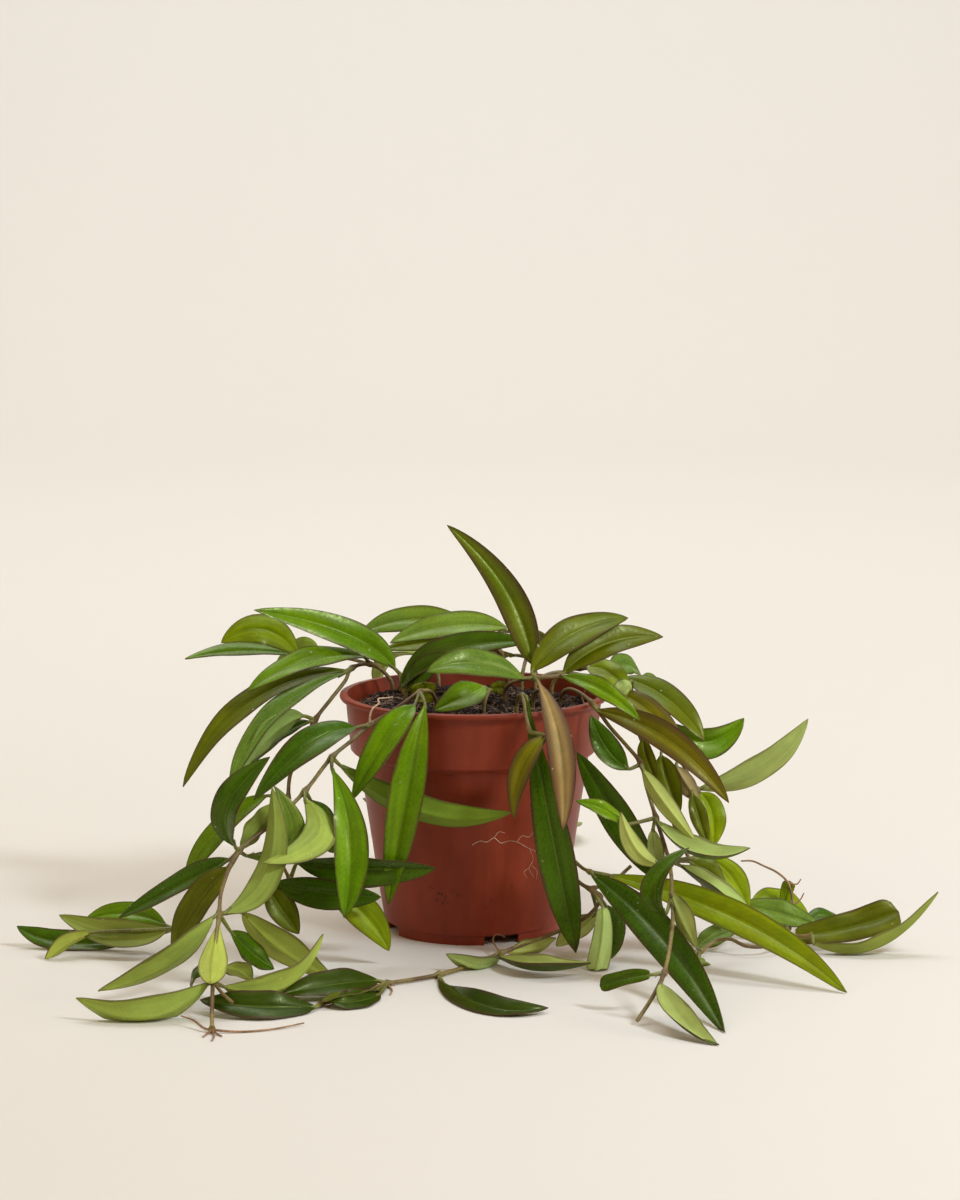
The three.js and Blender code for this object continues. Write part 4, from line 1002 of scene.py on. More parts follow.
VINES = [
    Vine("stem_left_high", routes=[
        Route(0.95, [(392, 683, 30), (384, 672, 30), (370, 664, 26), (352, 668, 18), (345, 681, 8),
              (331, 699, 2), (315, 720, -2), (301, 748, -6), (290, 776, -9), (288, 799, -11)]),
        Route(0.9, [(370, 664, 26), (345, 658, 34), (320, 656, 38), (300, 657, 40)]),
    ], leaves=[
        Leaf((352, 668, 18), (345, 671, 14), (251, 703, -2), (183, 787, -20), 15, (-0.3, -0.6, 0.75), 18,
             Tone.OLIVE),
        Leaf((352, 668, 18), (343, 674, 8), (272, 717, -14), (230, 790, -32), 15, (-0.5, -0.5, 0.7), 14,
             Tone.GREY),
        Leaf((370, 664, 26), (364, 657, 22), (306, 661, 4), (247, 692, -12), 14, (0, -0.55, 0.8), 12,
             Tone.BRIGHT),
        Leaf((300, 657, 40), (298, 655, 40), (262, 630, 36), (221, 643, 30), 15, (0, -0.9, 0.45), 10,
             Tone.FRESH),
        Leaf((300, 657, 40), (293, 655, 44), (240, 652, 46), (185, 659, 44), 13, (0, -0.3, 0.95), 16,
             Tone.BRIGHT),
        Leaf((320, 656, 38), (318, 651, 40), (296, 655, 46), (271, 685, 50), 14, (-0.3, -0.7, 0.6), 10,
             Tone.YELLOW),
        Leaf((315, 720, -2), (303, 716, -6), (272, 733, -16), (243, 770, -26), 15, (-0.4, 0.75, 0.5), 10,
             Tone.YELLOW),
        Leaf((315, 720, -2), (309, 722, -4), (279, 738, -4), (249, 768, -8), 12.5, (-0.3, -0.3, 0.9), 12,
             Tone.DEEP),
        Leaf((288, 799, -11), (266, 796, -14), (220, 832, -20), (184, 884, -26), 15, (-0.6, -0.6, 0.5), 14,
             Tone.BRIGHT),
        Leaf((288, 799, -11), (284, 812, -16), (276, 850, -24), (262, 892, -34), 14, (0.5, -0.8, 0.2), 14,
             Tone.DEEP),
    ]),
    Vine("stem_left_front", routes=[
        Route(0.95, [(436, 702, -26), (431, 692, -32), (420, 692, -42), (404, 703, -50), (388, 714, -53),
              (370, 725, -54), (351, 741, -60), (332, 757, -65), (305, 791, -74), (272, 824, -86),
              (239, 851, -98), (222, 889, -113), (219, 914, -125), (215, 950, -146), (213, 981, -165),
              (212, 1010, -181), (212, 1030, -192)]),
        Route(0.85, [(239, 851, -98), (216, 884, -84), (192, 915, -68), (173, 929, -58)]),
        Route(0.85, [(272, 824, -86), (274, 846, -82), (282, 864, -78), (290, 880, -74)]),
        Route(0.8, [(213, 981, -165), (222, 993, -168), (233, 1003, -170)]),
    ], knots=[(272, 824, -86), (212, 1030, -192)], leaves=[
        Leaf((420, 692, -42), (414, 706, -56), (386, 740, -66), (352, 800, -66), 15, (-0.4, -0.8, 0.3), 16,
             Tone.BRIGHT),
        Leaf((420, 692, -42), (425, 706, -60), (408, 785, -71), (388, 905, -68), 16, (0, -1, 0.1), 17,
             Tone.BRIGHT, lean=1.3),
        Leaf((370, 725, -54), (355, 728, -60), (309, 746, -74), (254, 800, -84), 16, (-0.3, -0.75, 0.55), 14,
             Tone.DEEP),
        Leaf((332, 757, -65), (332, 769, -74), (350, 838, -90), (344, 918, -96), 16.5, (0.15, -1, 0.05), 24,
             Tone.BRIGHT, lean=1.4),
        Leaf((332, 757, -65), (341, 766, -62), (426, 813, -60), (512, 812, -62), 16, (0, 0.85, 0.5), 16,
             Tone.BRIGHT),
        Leaf((305, 791, -74), (305, 799, -80), (318, 836, -98), (263, 863, -118), 15, (0.3, 0.85, 0.3), 14,
             Tone.LIME),
        Leaf((305, 791, -74), (311, 801, -70), (322, 826, -68), (333, 853, -66), 14, (0.4, -0.8, 0.3), 10,
             Tone.DEEP),
        Leaf((239, 851, -98), (235, 846, -102), (229, 806, -108), (270, 757, -108), 16, (-0.65, -0.75, 0.1),
             16, Tone.DEEP),
        Leaf((239, 851, -98), (248, 856, -94), (291, 838, -92), (274, 786, -96), 13, (0.75, -0.6, 0.2), 12,
             Tone.GREY),
        Leaf((239, 851, -98), (241, 849, -92), (258, 826, -88), (274, 803, -84), 12, (-0.6, 0.7, 0.3), 8,
             Tone.FRESH),
        Leaf((219, 914, -125), (226, 912, -122), (268, 869, -112), (272, 787, -108), 14, (0.5, 0.8, 0.2), 16,
             Tone.FRESH),
        Leaf((239, 851, -98), (229, 860, -96), (180, 886, -84), (119, 918, -72), 15, (-0.1, -0.55, 0.8), 16,
             Tone.DEEP),
        Leaf((239, 851, -98), (230, 868, -100), (197, 905, -98), (172, 952, -96), 15, (-0.5, -0.8, 0.3), 14,
             Tone.OLIVE),
        Leaf((219, 914, -125), (214, 917, -128), (171, 962, -138), (98, 991, -140), 16, (-0.3, 0.75, 0.6), 16,
             Tone.LIME),
        Leaf((219, 914, -125), (219, 921, -128), (214, 955, -150), (211, 984, -172), 12.5, (0, 1, -0.4), 10,
             Tone.LIME, lean=1.7),
        Leaf((213, 981, -165), (208, 984, -166), (145, 1017, -176), (76, 998, -172), 18, (0, 0.85, 0.5), 16,
             Tone.LIME),
        Leaf((213, 981, -165), (225, 987, -160), (287, 984, -142), (323, 934, -122), 18, (0.2, 0.85, 0.5), 12,
             Tone.LIME),
        Leaf((219, 914, -125), (243, 913, -112), (283, 951, -106), (333, 978, -102), 18, (0.2, 0.85, 0.5), 12,
             Tone.LIME),
        Leaf((219, 914, -125), (231, 932, -120), (250, 952, -112), (274, 969, -106), 12.5, (0.2, -0.7, 0.7),
             10, Tone.DEEP),
        Leaf((213, 981, -165), (224, 968, -150), (238, 970, -142), (252, 981, -138), 11.5, (0, 0.8, 0.6), 10,
             Tone.LIME),
        Leaf((213, 981, -165), (206, 972, -152), (196, 974, -142), (191, 987, -136), 7, (0, -0.8, 0.6), 10,
             Tone.DEEP),
        Leaf((290, 880, -74), (298, 862, -74), (366, 868, -72), (436, 868, -68), 17, (0, -0.85, -0.35), 24,
             Tone.DEEP),
        Leaf((290, 880, -74), (272, 884, -76), (328, 893, -82), (381, 897, -84), 14.5, (0, -0.95, -0.1), 16,
             Tone.DEEP),
        Leaf((290, 880, -74), (330, 893, -76), (364, 914, -76), (389, 951, -76), 15, (0.3, -0.95, 0.15), 14,
             Tone.FRESH),
        Leaf((290, 880, -74), (268, 888, -78), (282, 910, -80), (299, 934, -82), 13, (0.4, -0.9, 0.1), 12,
             Tone.OLIVE),
        Leaf((173, 929, -58), (167, 929, -58), (119, 937, -58), (59, 915, -52), 16, (0, 0.7, -0.7), -24,
             Tone.OLIVE),
        Leaf((173, 929, -58), (140, 940, -48), (62, 942, -44), (17, 926, -42), 11.5, (-0.1, -0.7, 0.7), 16,
             Tone.DEEP),
        Leaf((173, 929, -58), (90, 933, -60), (64, 944, -64), (45, 962, -66), 9, (-0.4, 0.8, 0.5), 10,
             Tone.LIME),
        Leaf((173, 929, -58), (165, 925, -52), (126, 914, -46), (84, 921, -44), 12, (0, -0.75, 0.65), 12,
             Tone.BRIGHT),
    ]),
    Vine("stem_right_front", routes=[
        Route(0.95, [(533, 700, -20), (537, 691, -28), (543, 693, -42), (548, 712, -57), (551, 760, -60),
              (556, 820, -60), (564, 862, -62), (579, 882, -66), (600, 897, -68), (590, 914, -64),
              (572, 925, -62), (552, 934, -62), (527, 943, -62), (501, 953, -66), (470, 965, -82),
              (439, 976, -98), (412, 981, -107), (387, 985, -114), (352, 997, -134), (320, 1006, -150)]),
        Route(0.85, [(590, 889, -67), (612, 882, -62), (631, 866, -58)]),
        Route(0.85, [(556, 820, -60), (566, 850, -61), (580, 866, -64), (590, 872, -72)]),
    ], knots=[(600, 897, -68)], leaves=[
        Leaf((590, 872, -72), (593, 875, -78), (668, 944, -127), (725, 1034, -193), 16.5, (-0.1, -1, 0.15),
             14, Tone.DEEP),
        Leaf((590, 872, -72), (612, 876, -74), (745, 923, -98), (847, 994, -127), 15, (-0.2, -0.75, 0.65), 14,
             Tone.FRESH),
        Leaf((592, 890, -67), (603, 908, -72), (602, 940, -80), (595, 973, -88), 10.5, (0.1, 1, 0.1), 20,
             Tone.PALE, blunt=True),
        Leaf((592, 890, -67), (606, 906, -66), (612, 932, -66), (607, 961, -68), 12.5, (0.5, -0.85, 0.1), 12,
             Tone.DEEP),
        Leaf((592, 890, -67), (596, 914, -58), (577, 930, -54), (556, 946, -54), 13, (-0.2, 0.85, 0.5), 10,
             Tone.PALE),
        Leaf((501, 953, -66), (499, 958, -70), (479, 967, -84), (446, 954, -88), 13, (0, 0.8, 0.6), 12,
             Tone.PALE),
        Leaf((501, 953, -66), (500, 958, -74), (540, 971, -98), (591, 963, -96), 16, (0, 0.1, -1), -42,
             Tone.PALE),
        Leaf((501, 953, -66), (508, 951, -64), (532, 948, -60), (556, 938, -58), 11.5, (0, 0.8, 0.6), 10,
             Tone.PALE),
        Leaf((439, 976, -98), (440, 987, -106), (487, 1009, -154), (548, 1008, -158), 15, (0, -0.6, 0.8), 22,
             Tone.DARK),
        Leaf((387, 985, -114), (378, 981, -116), (333, 985, -132), (281, 995, -144), 15, (0, -0.6, 0.8), 16,
             Tone.DARK),
        Leaf((387, 985, -114), (380, 990, -122), (350, 995, -140), (322, 1001, -154), 12.5, (0, 0.25, 0.95),
             10, Tone.OLIVE),
        Leaf((387, 985, -114), (379, 995, -132), (355, 1002, -148), (331, 1002, -152), 12.5, (0, -0.7, 0.7),
             12, Tone.DARK),
        Leaf((320, 1006, -150), (314, 1007, -156), (258, 1007, -166), (200, 1000, -160), 15, (0, -0.65, 0.75),
             14, Tone.DARK),
    ]),
    Vine("stem_right_mid", routes=[
        Route(0.95, [(561, 697, -8), (566, 690, -14), (576, 691, -24), (592, 703, -36), (610, 727, -44),
              (626, 745, -48), (641, 764, -52), (646, 785, -55), (656, 818, -62), (669, 861, -74),
              (672, 895, -102), (672, 930, -136), (664, 973, -160), (652, 998, -172), (637, 1021, -180)]),
    ], leaves=[
        Leaf((592, 703, -36), (598, 711, -40), (670, 741, -58), (729, 803, -66), 13, (-0.2, -0.85, 0.5), 16,
             Tone.BRONZE),
        Leaf((641, 764, -52), (628, 769, -54), (606, 748, -50), (591, 715, -46), 12.5, (0.3, -0.9, 0.2), 16,
             Tone.DEEP),
        Leaf((641, 764, -52), (643, 770, -58), (664, 802, -68), (696, 842, -72), 8.5, (-0.3, 0.85, 0.4), 16,
             Tone.PALE),
        Leaf((656, 818, -62), (657, 822, -66), (699, 857, -76), (750, 848, -74), 17, (0, 0.35, -0.94), -42,
             Tone.PALE),
        Leaf((656, 818, -62), (653, 829, -66), (656, 850, -70), (664, 870, -74), 7, (0, 1, 0), 8, Tone.PALE),
        Leaf((669, 861, -74), (659, 864, -76), (635, 848, -80), (621, 812, -78), 9, (-0.5, 0.85, 0.3), 18,
             Tone.PALE),
        Leaf((669, 861, -74), (658, 880, -66), (617, 816, -58), (577, 752, -52), 15, (-0.5, -0.8, 0.4), 12,
             Tone.DEEP),
        Leaf((656, 818, -62), (624, 824, -74), (603, 810, -78), (576, 801, -78), 8, (0, -0.7, 0.7), 14,
             Tone.BRIGHT),
        Leaf((672, 895, -102), (665, 914, -124), (657, 884, -124), (689, 848, -112), 13, (-0.55, -0.6, 0.5),
             26, Tone.DEEP),
        Leaf((672, 895, -102), (673, 896, -112), (683, 920, -126), (697, 948, -134), 11.5, (0.5, 0.85, 0.2),
             12, Tone.PALE),
        Leaf((664, 973, -160), (650, 975, -162), (628, 978, -160), (600, 986, -154), 7.5, (0, -0.8, 0.6), 14,
             Tone.DEEP, blunt=True),
        Leaf((664, 973, -160), (661, 985, -166), (678, 1022, -190), (719, 1048, -213), 15, (0, 0.1, -1), -42,
             Tone.PALE),
        Leaf((669, 861, -74), (681, 866, -68), (713, 892, -66), (748, 907, -62), 15, (0, 0.35, -0.94), -42,
             Tone.PALE),
        Leaf((669, 861, -74), (690, 862, -64), (708, 872, -62), (725, 886, -60), 11.5, (0.3, -0.85, 0.45), 10,
             Tone.OLIVE),
        Leaf((669, 861, -74), (710, 858, -56), (733, 880, -54), (748, 909, -54), 12.5, (0.5, -0.85, 0.2), 12,
             Tone.FRESH),
    ]),
    Vine("stem_right_high", routes=[
        Route(0.95, [(552, 686, 22), (560, 674, 20), (580, 668, 16), (606, 672, 10), (632, 682, 4),
              (654, 702, -4), (668, 730, -12), (680, 758, -18), (694, 786, -22)]),
    ], leaves=[
        Leaf((580, 668, 16), (588, 668, 4), (608, 673, -4), (634, 697, -14), 12.5, (0.1, -0.7, 0.7), 12,
             Tone.FRESH),
        Leaf((606, 672, 10), (622, 678, -2), (668, 700, -16), (704, 741, -26), 15, (0.3, -0.7, 0.6), 12,
             Tone.OLIVE),
        Leaf((606, 672, 10), (616, 690, -16), (651, 713, -32), (683, 744, -40), 11.5, (0.1, -0.8, 0.6), 12,
             Tone.BRONZE),
        Leaf((606, 672, 10), (612, 676, 16), (626, 665, 24), (641, 677, 28), 13, (0, -0.7, 0.7), 10,
             Tone.GREY),
        Leaf((632, 682, 4), (640, 680, 10), (650, 682, 14), (656, 690, 16), 8, (0.2, -0.8, 0.5), 10,
             Tone.GREY),
        Leaf((632, 682, 4), (630, 682, -20), (623, 689, -22), (612, 698, -22), 9, (0.2, 0.9, 0.3), 8,
             Tone.PALE),
        Leaf((654, 702, -4), (668, 722, 0), (706, 741, 4), (744, 718, 10), 17, (0, -0.95, -0.1), 30,
             Tone.BRIGHT, twist=30),
        Leaf((694, 786, -22), (700, 789, -22), (766, 766, -20), (808, 719, -14), 14, (0.2, 0.85, 0.5), 12,
             Tone.GREY),
        Leaf((694, 786, -22), (700, 793, -26), (712, 815, -30), (713, 847, -32), 12.5, (0.3, -0.95, 0.1), 12,
             Tone.FRESH),
        Leaf((694, 786, -22), (692, 794, -32), (699, 818, -38), (708, 845, -40), 8, (0.2, -0.95, 0.1), 12,
             Tone.OLIVE),
        Leaf((680, 758, -18), (676, 766, -24), (686, 784, -28), (699, 801, -30), 9, (-0.4, 0.8, 0.4), 12,
             Tone.BRONZE),
        Leaf((668, 730, -12), (661, 756, -20), (668, 782, -26), (680, 813, -30), 12.5, (-0.2, -0.95, 0.1), 12,
             Tone.OLIVE),
        Leaf((654, 702, -4), (643, 738, -14), (648, 760, -20), (658, 782, -26), 8, (-0.3, -0.95, 0), 12,
             Tone.OLIVE),
    ]),
    Vine("stem_right_far", routes=[
        Route(0.95, [(536, 683, 30), (544, 676, 34), (560, 672, 38), (584, 676, 40), (610, 690, 38),
              (634, 724, 30), (660, 790, 12), (690, 860, -10), (720, 908, -26), (760, 930, -40),
              (789, 936, -48), (812, 936, -52)]),
        Route(0.9, [(789, 936, -48), (768, 946, -58), (746, 946, -60), (730, 939, -56), (716, 941, -54),
              (700, 952, -60)]),
    ], leaves=[
        Leaf((720, 908, -26), (740, 906, -28), (780, 914, -30), (820, 927, -32), 14, (0, -0.65, 0.75), 12,
             Tone.GREY),
        Leaf((720, 908, -26), (752, 902, -18), (782, 901, -12), (808, 914, -10), 14, (0, -0.5, 0.85), 12,
             Tone.FRESH),
        Leaf((789, 936, -48), (784, 912, -20), (786, 894, -18), (790, 881, -18), 6, (0, -1, 0), 10,
             Tone.FRESH, blunt=True),
        Leaf((812, 936, -52), (806, 922, -16), (824, 917, -12), (844, 922, -10), 10.5, (0, -0.4, 0.9), 10,
             Tone.DEEP),
        Leaf((789, 936, -48), (796, 936, -46), (850, 928, -44), (899, 912, -40), 16, (0, -0.8, 0.6), 16,
             Tone.OLIVE, blunt=True),
        Leaf((812, 936, -52), (814, 944, -56), (878, 945, -58), (938, 892, -50), 13, (0, 0.5, 0.85), 20,
             Tone.FRESH),
        Leaf((700, 952, -60), (698, 948, -54), (716, 936, -46), (742, 925, -40), 10.5, (0, -0.7, 0.7), 12,
             Tone.GREY),
        Leaf((700, 952, -60), (694, 954, -64), (688, 951, -66), (680, 944, -66), 6, (0, 0.8, 0.6), 8,
             Tone.PALE, blunt=True),
        Leaf((700, 952, -60), (699, 959, -68), (702, 965, -74), (706, 970, -78), 5.5, (0, -0.8, 0.6), 8,
             Tone.FRESH, blunt=True),
    ]),
    Vine("stem_centre", routes=[
        Route(0.95, [(505, 691, -6), (510, 684, -14), (520, 680, -28), (534, 678, -44), (548, 677, -46),
              (562, 675, -42)]),
    ], leaves=[
        Leaf((534, 678, -44), (533, 664, -36), (506, 588, -26), (447, 525, -20), 15, (-0.2, -1, 0.1), 22,
             Tone.MARGIN, lean=0.75),
        Leaf((534, 678, -44), (523, 678, -48), (474, 664, -62), (427, 672, -70), 15, (0, -0.75, 0.65), 14,
             Tone.GREY),
        Leaf((534, 678, -44), (532, 671, -42), (573, 635, -32), (628, 618, -18), 16, (-0.3, -0.85, 0.4), 16,
             Tone.OLIVE),
        Leaf((534, 678, -44), (538, 682, -52), (560, 745, -80), (563, 830, -86), 12, (0, -1, 0.1), 10,
             Tone.TAN, lean=1.3),
        Leaf((562, 675, -42), (564, 677, -48), (602, 690, -58), (640, 721, -62), 9.5, (0.1, -0.8, 0.6), 16,
             Tone.BRIGHT),
        Leaf((562, 675, -42), (564, 673, -38), (608, 644, -28), (663, 637, -18), 15, (0, -0.8, 0.6), 18,
             Tone.OLIVE),
    ]),
    Vine("stem_hanging", routes=[
        Route(0.85, [(517, 704, -34), (519, 696, -42), (522, 695, -52), (524, 702, -62), (526, 716, -64),
              (530, 732, -66)]),
    ], leaves=[
        Leaf((522, 695, -52), (527, 698, -60), (548, 815, -70), (576, 953, -66), 17, (-0.05, -1, 0.1), 15,
             Tone.DEEP, lean=1.9),
        Leaf((530, 732, -66), (546, 737, -76), (522, 768, -80), (514, 818, -74), 10.5, (-0.4, -0.9, 0.1), 16,
             Tone.BRONZE),
    ]),
    Vine("stem_top", routes=[
        Route(0.95, [(405, 692, 6), (403, 684, 8), (402, 676, 12)]),
    ], leaves=[
        Leaf((402, 676, 12), (394, 668, 14), (346, 634, 18), (254, 610, 4), 15, (-0.1, -0.8, 0.6), 12,
             Tone.BRIGHT),
        Leaf((404, 690, 6.5), (400, 690, 8), (446, 652, 0), (536, 642, -8), 16, (0.1, -0.65, 0.75), 14,
             Tone.DEEP),
        Leaf((402.6, 680.5, 10), (408, 691, 4), (424, 671, -2), (452, 655, -8), 13, (0, -0.75, 0.65), 12,
             Tone.DEEP),
    ]),
    Vine("stem_top_back", routes=[
        Route(0.95, [(508, 681, 36), (506, 670, 34), (500, 652, 30), (490, 638, 26)]),
    ], leaves=[
        Leaf((490, 638, 26), (476, 628, 30), (412, 620, 34), (361, 634, 30), 14, (0, -0.75, 0.65), 12,
             Tone.GREY),
        Leaf((490, 638, 26), (506, 628, 28), (450, 626, 26), (390, 643, 20), 15, (0, -0.65, 0.75), 12,
             Tone.GREY),
        Leaf((500, 652, 30), (472, 638, 34), (430, 642, 38), (384, 650, 36), 12.5, (0, -0.6, 0.8), 12,
             Tone.FRESH),
        Leaf((490, 638, 26), (500, 632, 34), (530, 634, 44), (556, 652, 54), 13, (0.2, 0.3, 0.9), 12,
             Tone.FRESH),
    ]),
    Vine("leaf_on_soil", routes=[
        Route(0.85, [(484, 706, -30), (486, 698, -30), (488, 690, -28)]),
    ], leaves=[
        Leaf((488, 690, -28), (484, 687, -30), (464, 697, -38), (434, 711, -44), 15, (-0.1, -0.75, 0.65), 12,
             Tone.BRIGHT),
        Leaf((488, 690, -28), (492, 690, -26), (498, 688, -26), (504, 689, -26), 7, (0, -0.9, 0.4), 8,
             Tone.OLIVE, blunt=True),
    ]),
    Vine("leaf_stub", routes=[
        Route(0.95, [(422, 700, -20), (422, 697, -20), (422, 694, -20)]),
    ], leaves=[
        Leaf((422, 697, -20), (424, 703, -22), (424, 694, -21), (423, 682, -21), 12, (0, -1, 0.1), 14,
             Tone.OLIVE, blunt=True),
    ]),
    Vine("stem_back_left", routes=[
        Route(0.95, [place(-16, 40, 106), place(-17, 45, 111), place(-19, 56, 114), place(-22, 66, 108),
              place(-26, 76, 88), place(-31, 88, 60), place(-36, 104, 32), place(-36, 126, 10),
              place(-30, 150, 4), place(-22, 176, 3)]),
    ], leaves=[
        Leaf(place(-19, 56, 114), place(-25, 60, 114), place(-39, 78, 110), place(-46, 98, 92), 13,
             (-0.4, 0.5, 0.8), 14, Tone.FRESH),
        Leaf(place(-26, 76, 88), place(-19, 80, 88), place(-1, 84, 78), place(13, 84, 54), 14,
             (0.2, 0.9, 0.4), 14, Tone.DEEP),
        Leaf(place(-26, 76, 88), place(-32, 80, 88), place(-42, 84, 72), place(-45, 84, 42), 14,
             (-0.4, 0.9, 0.3), 14, Tone.FRESH),
        Leaf(place(-31, 88, 60), place(-25, 92, 60), place(-9, 100, 48), place(3, 104, 22), 15,
             (0.2, 0.9, 0.4), 14, Tone.DEEP),
        Leaf(place(-36, 104, 32), place(-40, 108, 32), place(-46, 124, 34), place(-44, 150, 22), 15,
             (-0.3, 0.2, 0.9), 14, Tone.OLIVE),
        Leaf(place(-36, 126, 10), place(-29, 128, 11), place(-8, 138, 15), place(14, 152, 8), 15,
             (0.1, 0.5, 0.85), 14, Tone.FRESH),
        Leaf(place(-22, 176, 3), place(-26, 180, 5), place(-34, 196, 9), place(-38, 213, 3), 14,
             (-0.2, 0.4, 0.9), 14, Tone.DEEP),
        Leaf(place(-22, 176, 3), place(-17, 179, 5), place(2, 190, 9), place(18, 206, 3), 14, (0.2, 0.4, 0.9),
             14, Tone.PALE),
    ]),
    Vine("stem_back_right", routes=[
        Route(0.95, [place(22, 38, 106), place(23, 44, 111), place(25, 56, 114), place(28, 65, 108),
              place(32, 72, 88), place(36, 80, 62), place(39, 94, 36), place(38, 116, 12), place(40, 140, 4),
              place(34, 168, 3)]),
    ], leaves=[
        Leaf(place(25, 56, 114), place(19, 60, 114), place(3, 72, 108), place(-7, 84, 92), 14, (0, 0.6, 0.8),
             14, Tone.OLIVE),
        Leaf(place(32, 72, 88), place(37, 74, 86), place(46, 78, 70), place(47, 80, 42), 13, (0.4, 0.9, 0.3),
             14, Tone.DEEP),
        Leaf(place(36, 80, 62), place(30, 86, 61), place(22, 96, 50), place(20, 106, 28), 14,
             (-0.1, 0.9, 0.4), 14, Tone.FRESH),
        Leaf(place(39, 94, 36), place(42, 99, 38), place(47, 116, 44), place(46, 140, 36), 14,
             (0.3, 0.1, 0.9), 14, Tone.DEEP),
        Leaf(place(38, 116, 12), place(32, 120, 13), place(22, 122, 24), place(8, 120, 36), 12.5,
             (0, 0.7, 0.7), 14, Tone.FRESH),
        Leaf(place(34, 168, 3), place(29, 171, 5), place(26, 184, 11), place(32, 214, 4), 13,
             (-0.1, 0.4, 0.9), 14, Tone.OLIVE),
        Leaf(place(34, 168, 3), place(38, 171, 5), place(47, 184, 9), place(49, 206, 3), 12.5,
             (0.3, 0.3, 0.9), 14, Tone.FRESH),
    ]),
]


@dataclass
class Pot:
    """The thin plastic pot, a standard 12 cm one. Sizes are in millimetres.

    Attributes:
        rim: The lip's radius.
        height: How high the pot is.
        wall: How thick its wall is.
        lip: How high the rolled lip is.
        collar_top: The collar's outer radius below the lip.
        collar_foot: The collar's outer radius at the step.
        step: The height of the step between the collar and the wall.
        body_top: The wall's outer radius at the step.
        body_foot: The wall's outer radius at the floor.
        foot: The foot ring's outer radius.
        foot_height: How high the foot ring is.
        ring: How thick the foot ring is.
        slots: How many slots the foot ring has.
        first_slot: Where the first slot lies, in degrees.
        slot_size: How far into the ring and how wide a slot is cut.
        drains: How many holes the floor has.
        drain_ring: How far the holes lie from the middle.
        drain_size: How wide and deep a hole is cut.
        sides: How finely the pot is rounded.
    """

    rim: float = 60.0
    height: float = 107.0
    wall: float = 1.3
    lip: float = 2.4
    collar_top: float = 57.3
    collar_foot: float = 55.1
    step: float = 81.0
    body_top: float = 51.9
    body_foot: float = 40.2
    foot: float = 38.8
    foot_height: float = 4.4
    ring: float = 1.6
    slots: int = 4
    first_slot: float = -71.0
    slot_size: Span = (8.0, 16.0)
    drains: int = 6
    drain_ring: float = 22.0
    drain_size: Triple = (6.0, 6.0, 8.0)
    sides: int = 160

    def profile(self) -> list[Span]:
        """Lists the wall's outline, from the middle of the floor round to it again.

        Returns:
            The radius and the height of each corner.
        """
        inner, floor, under = self.foot - self.ring, self.foot_height + self.wall, self.height - self.lip
        return [
            (0.01, self.foot_height), (inner, self.foot_height), (inner, 0.0), (self.foot, 0.0),
            (self.foot + 0.4, self.foot_height), (self.body_foot, self.foot_height + 0.3),
            (self.body_foot + 1.2, 12.0), (self.body_top - 0.3, self.step - 2.4),
            (self.body_top + 0.2, self.step - 1), (self.collar_foot - 0.9, self.step),
            (self.collar_foot, self.step + 1.0), (self.collar_top, under), (self.rim - 0.5, under + 0.1),
            (self.rim, self.height - self.lip / 2), (self.rim - 0.3, self.height - 0.3),
            (self.rim - 0.9, self.height), (self.collar_top - 0.6, self.height),
            (self.collar_top - self.wall, under), (self.collar_foot - self.wall, self.step + 1.6),
            (self.body_top - self.wall, self.step + 0.4), (self.body_foot - self.wall + 0.2, floor),
            (0.01, floor),
        ]

    def wall_at(self, height: float) -> float:
        """Gives the outer radius of the wall at a height in millimetres."""
        outer = self.profile()[5:12]
        return float(np.interp(height, [level for _, level in outer], [radius for radius, _ in outer]))

    def on_wall(self, across: float, down: float, proud: float) -> Vector:
        """Finds the place on the wall that a picture point shows.

        Args:
            across: Picture points from the left edge.
            down: Picture points from the top edge.
            proud: How far in front of the wall the place lies.

        Returns:
            The place in millimetres.
        """
        depth = -50.0
        for _ in range(8):
            found = spot(across, down, depth)
            radius = self.wall_at(found.z) + proud
            depth = -math.sqrt(max(radius**2 - found.x**2, 1.0))
        return spot(across, down, depth)

    def build(self) -> Piece:
        """Turns the outline round the axis and cuts the drains and the slots of the foot.

        Returns:
            The pot.
        """
        corners = [(radius * MM, 0.0, level * MM) for radius, level in self.profile()]
        mesh = bpy.data.meshes.new("pot_wall")
        mesh.from_pydata(corners, [(index, index + 1) for index in range(len(corners) - 1)], [])
        pot = shown("pot_wall", mesh)
        apply(pot, "SCREW", axis="Z", angle=TURN, steps=self.sides, render_steps=self.sides,
              use_merge_vertices=True, merge_threshold=0.05 * MM, use_normal_calculate=True)
        pick(pot)
        bpy.ops.object.mode_set(mode="EDIT")
        bpy.ops.mesh.select_all(action="SELECT")
        bpy.ops.mesh.remove_doubles(threshold=0.03 * MM)
        bpy.ops.mesh.normals_make_consistent(inside=False)
        bpy.ops.object.mode_set(mode="OBJECT")
        for index in range(self.slots):
            turn = math.radians(self.first_slot + 360 / self.slots * index)
            self.cut(pot, "cube", around(self.foot, turn), turn,
                     (*self.slot_size, 2 * (self.foot_height - 0.4)))
        for index in range(self.drains):
            turn = math.radians(360 / self.drains * index)
            centre = around(self.drain_ring, turn, self.foot_height + 0.5)
            self.cut(pot, "cylinder", centre, 0, self.drain_size)
        soften(pot, 28)
        pot.data.materials.clear()
        pot.data.materials.append(PotFinish().material())
        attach(pot, "root")
        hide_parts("pot")
        return pot

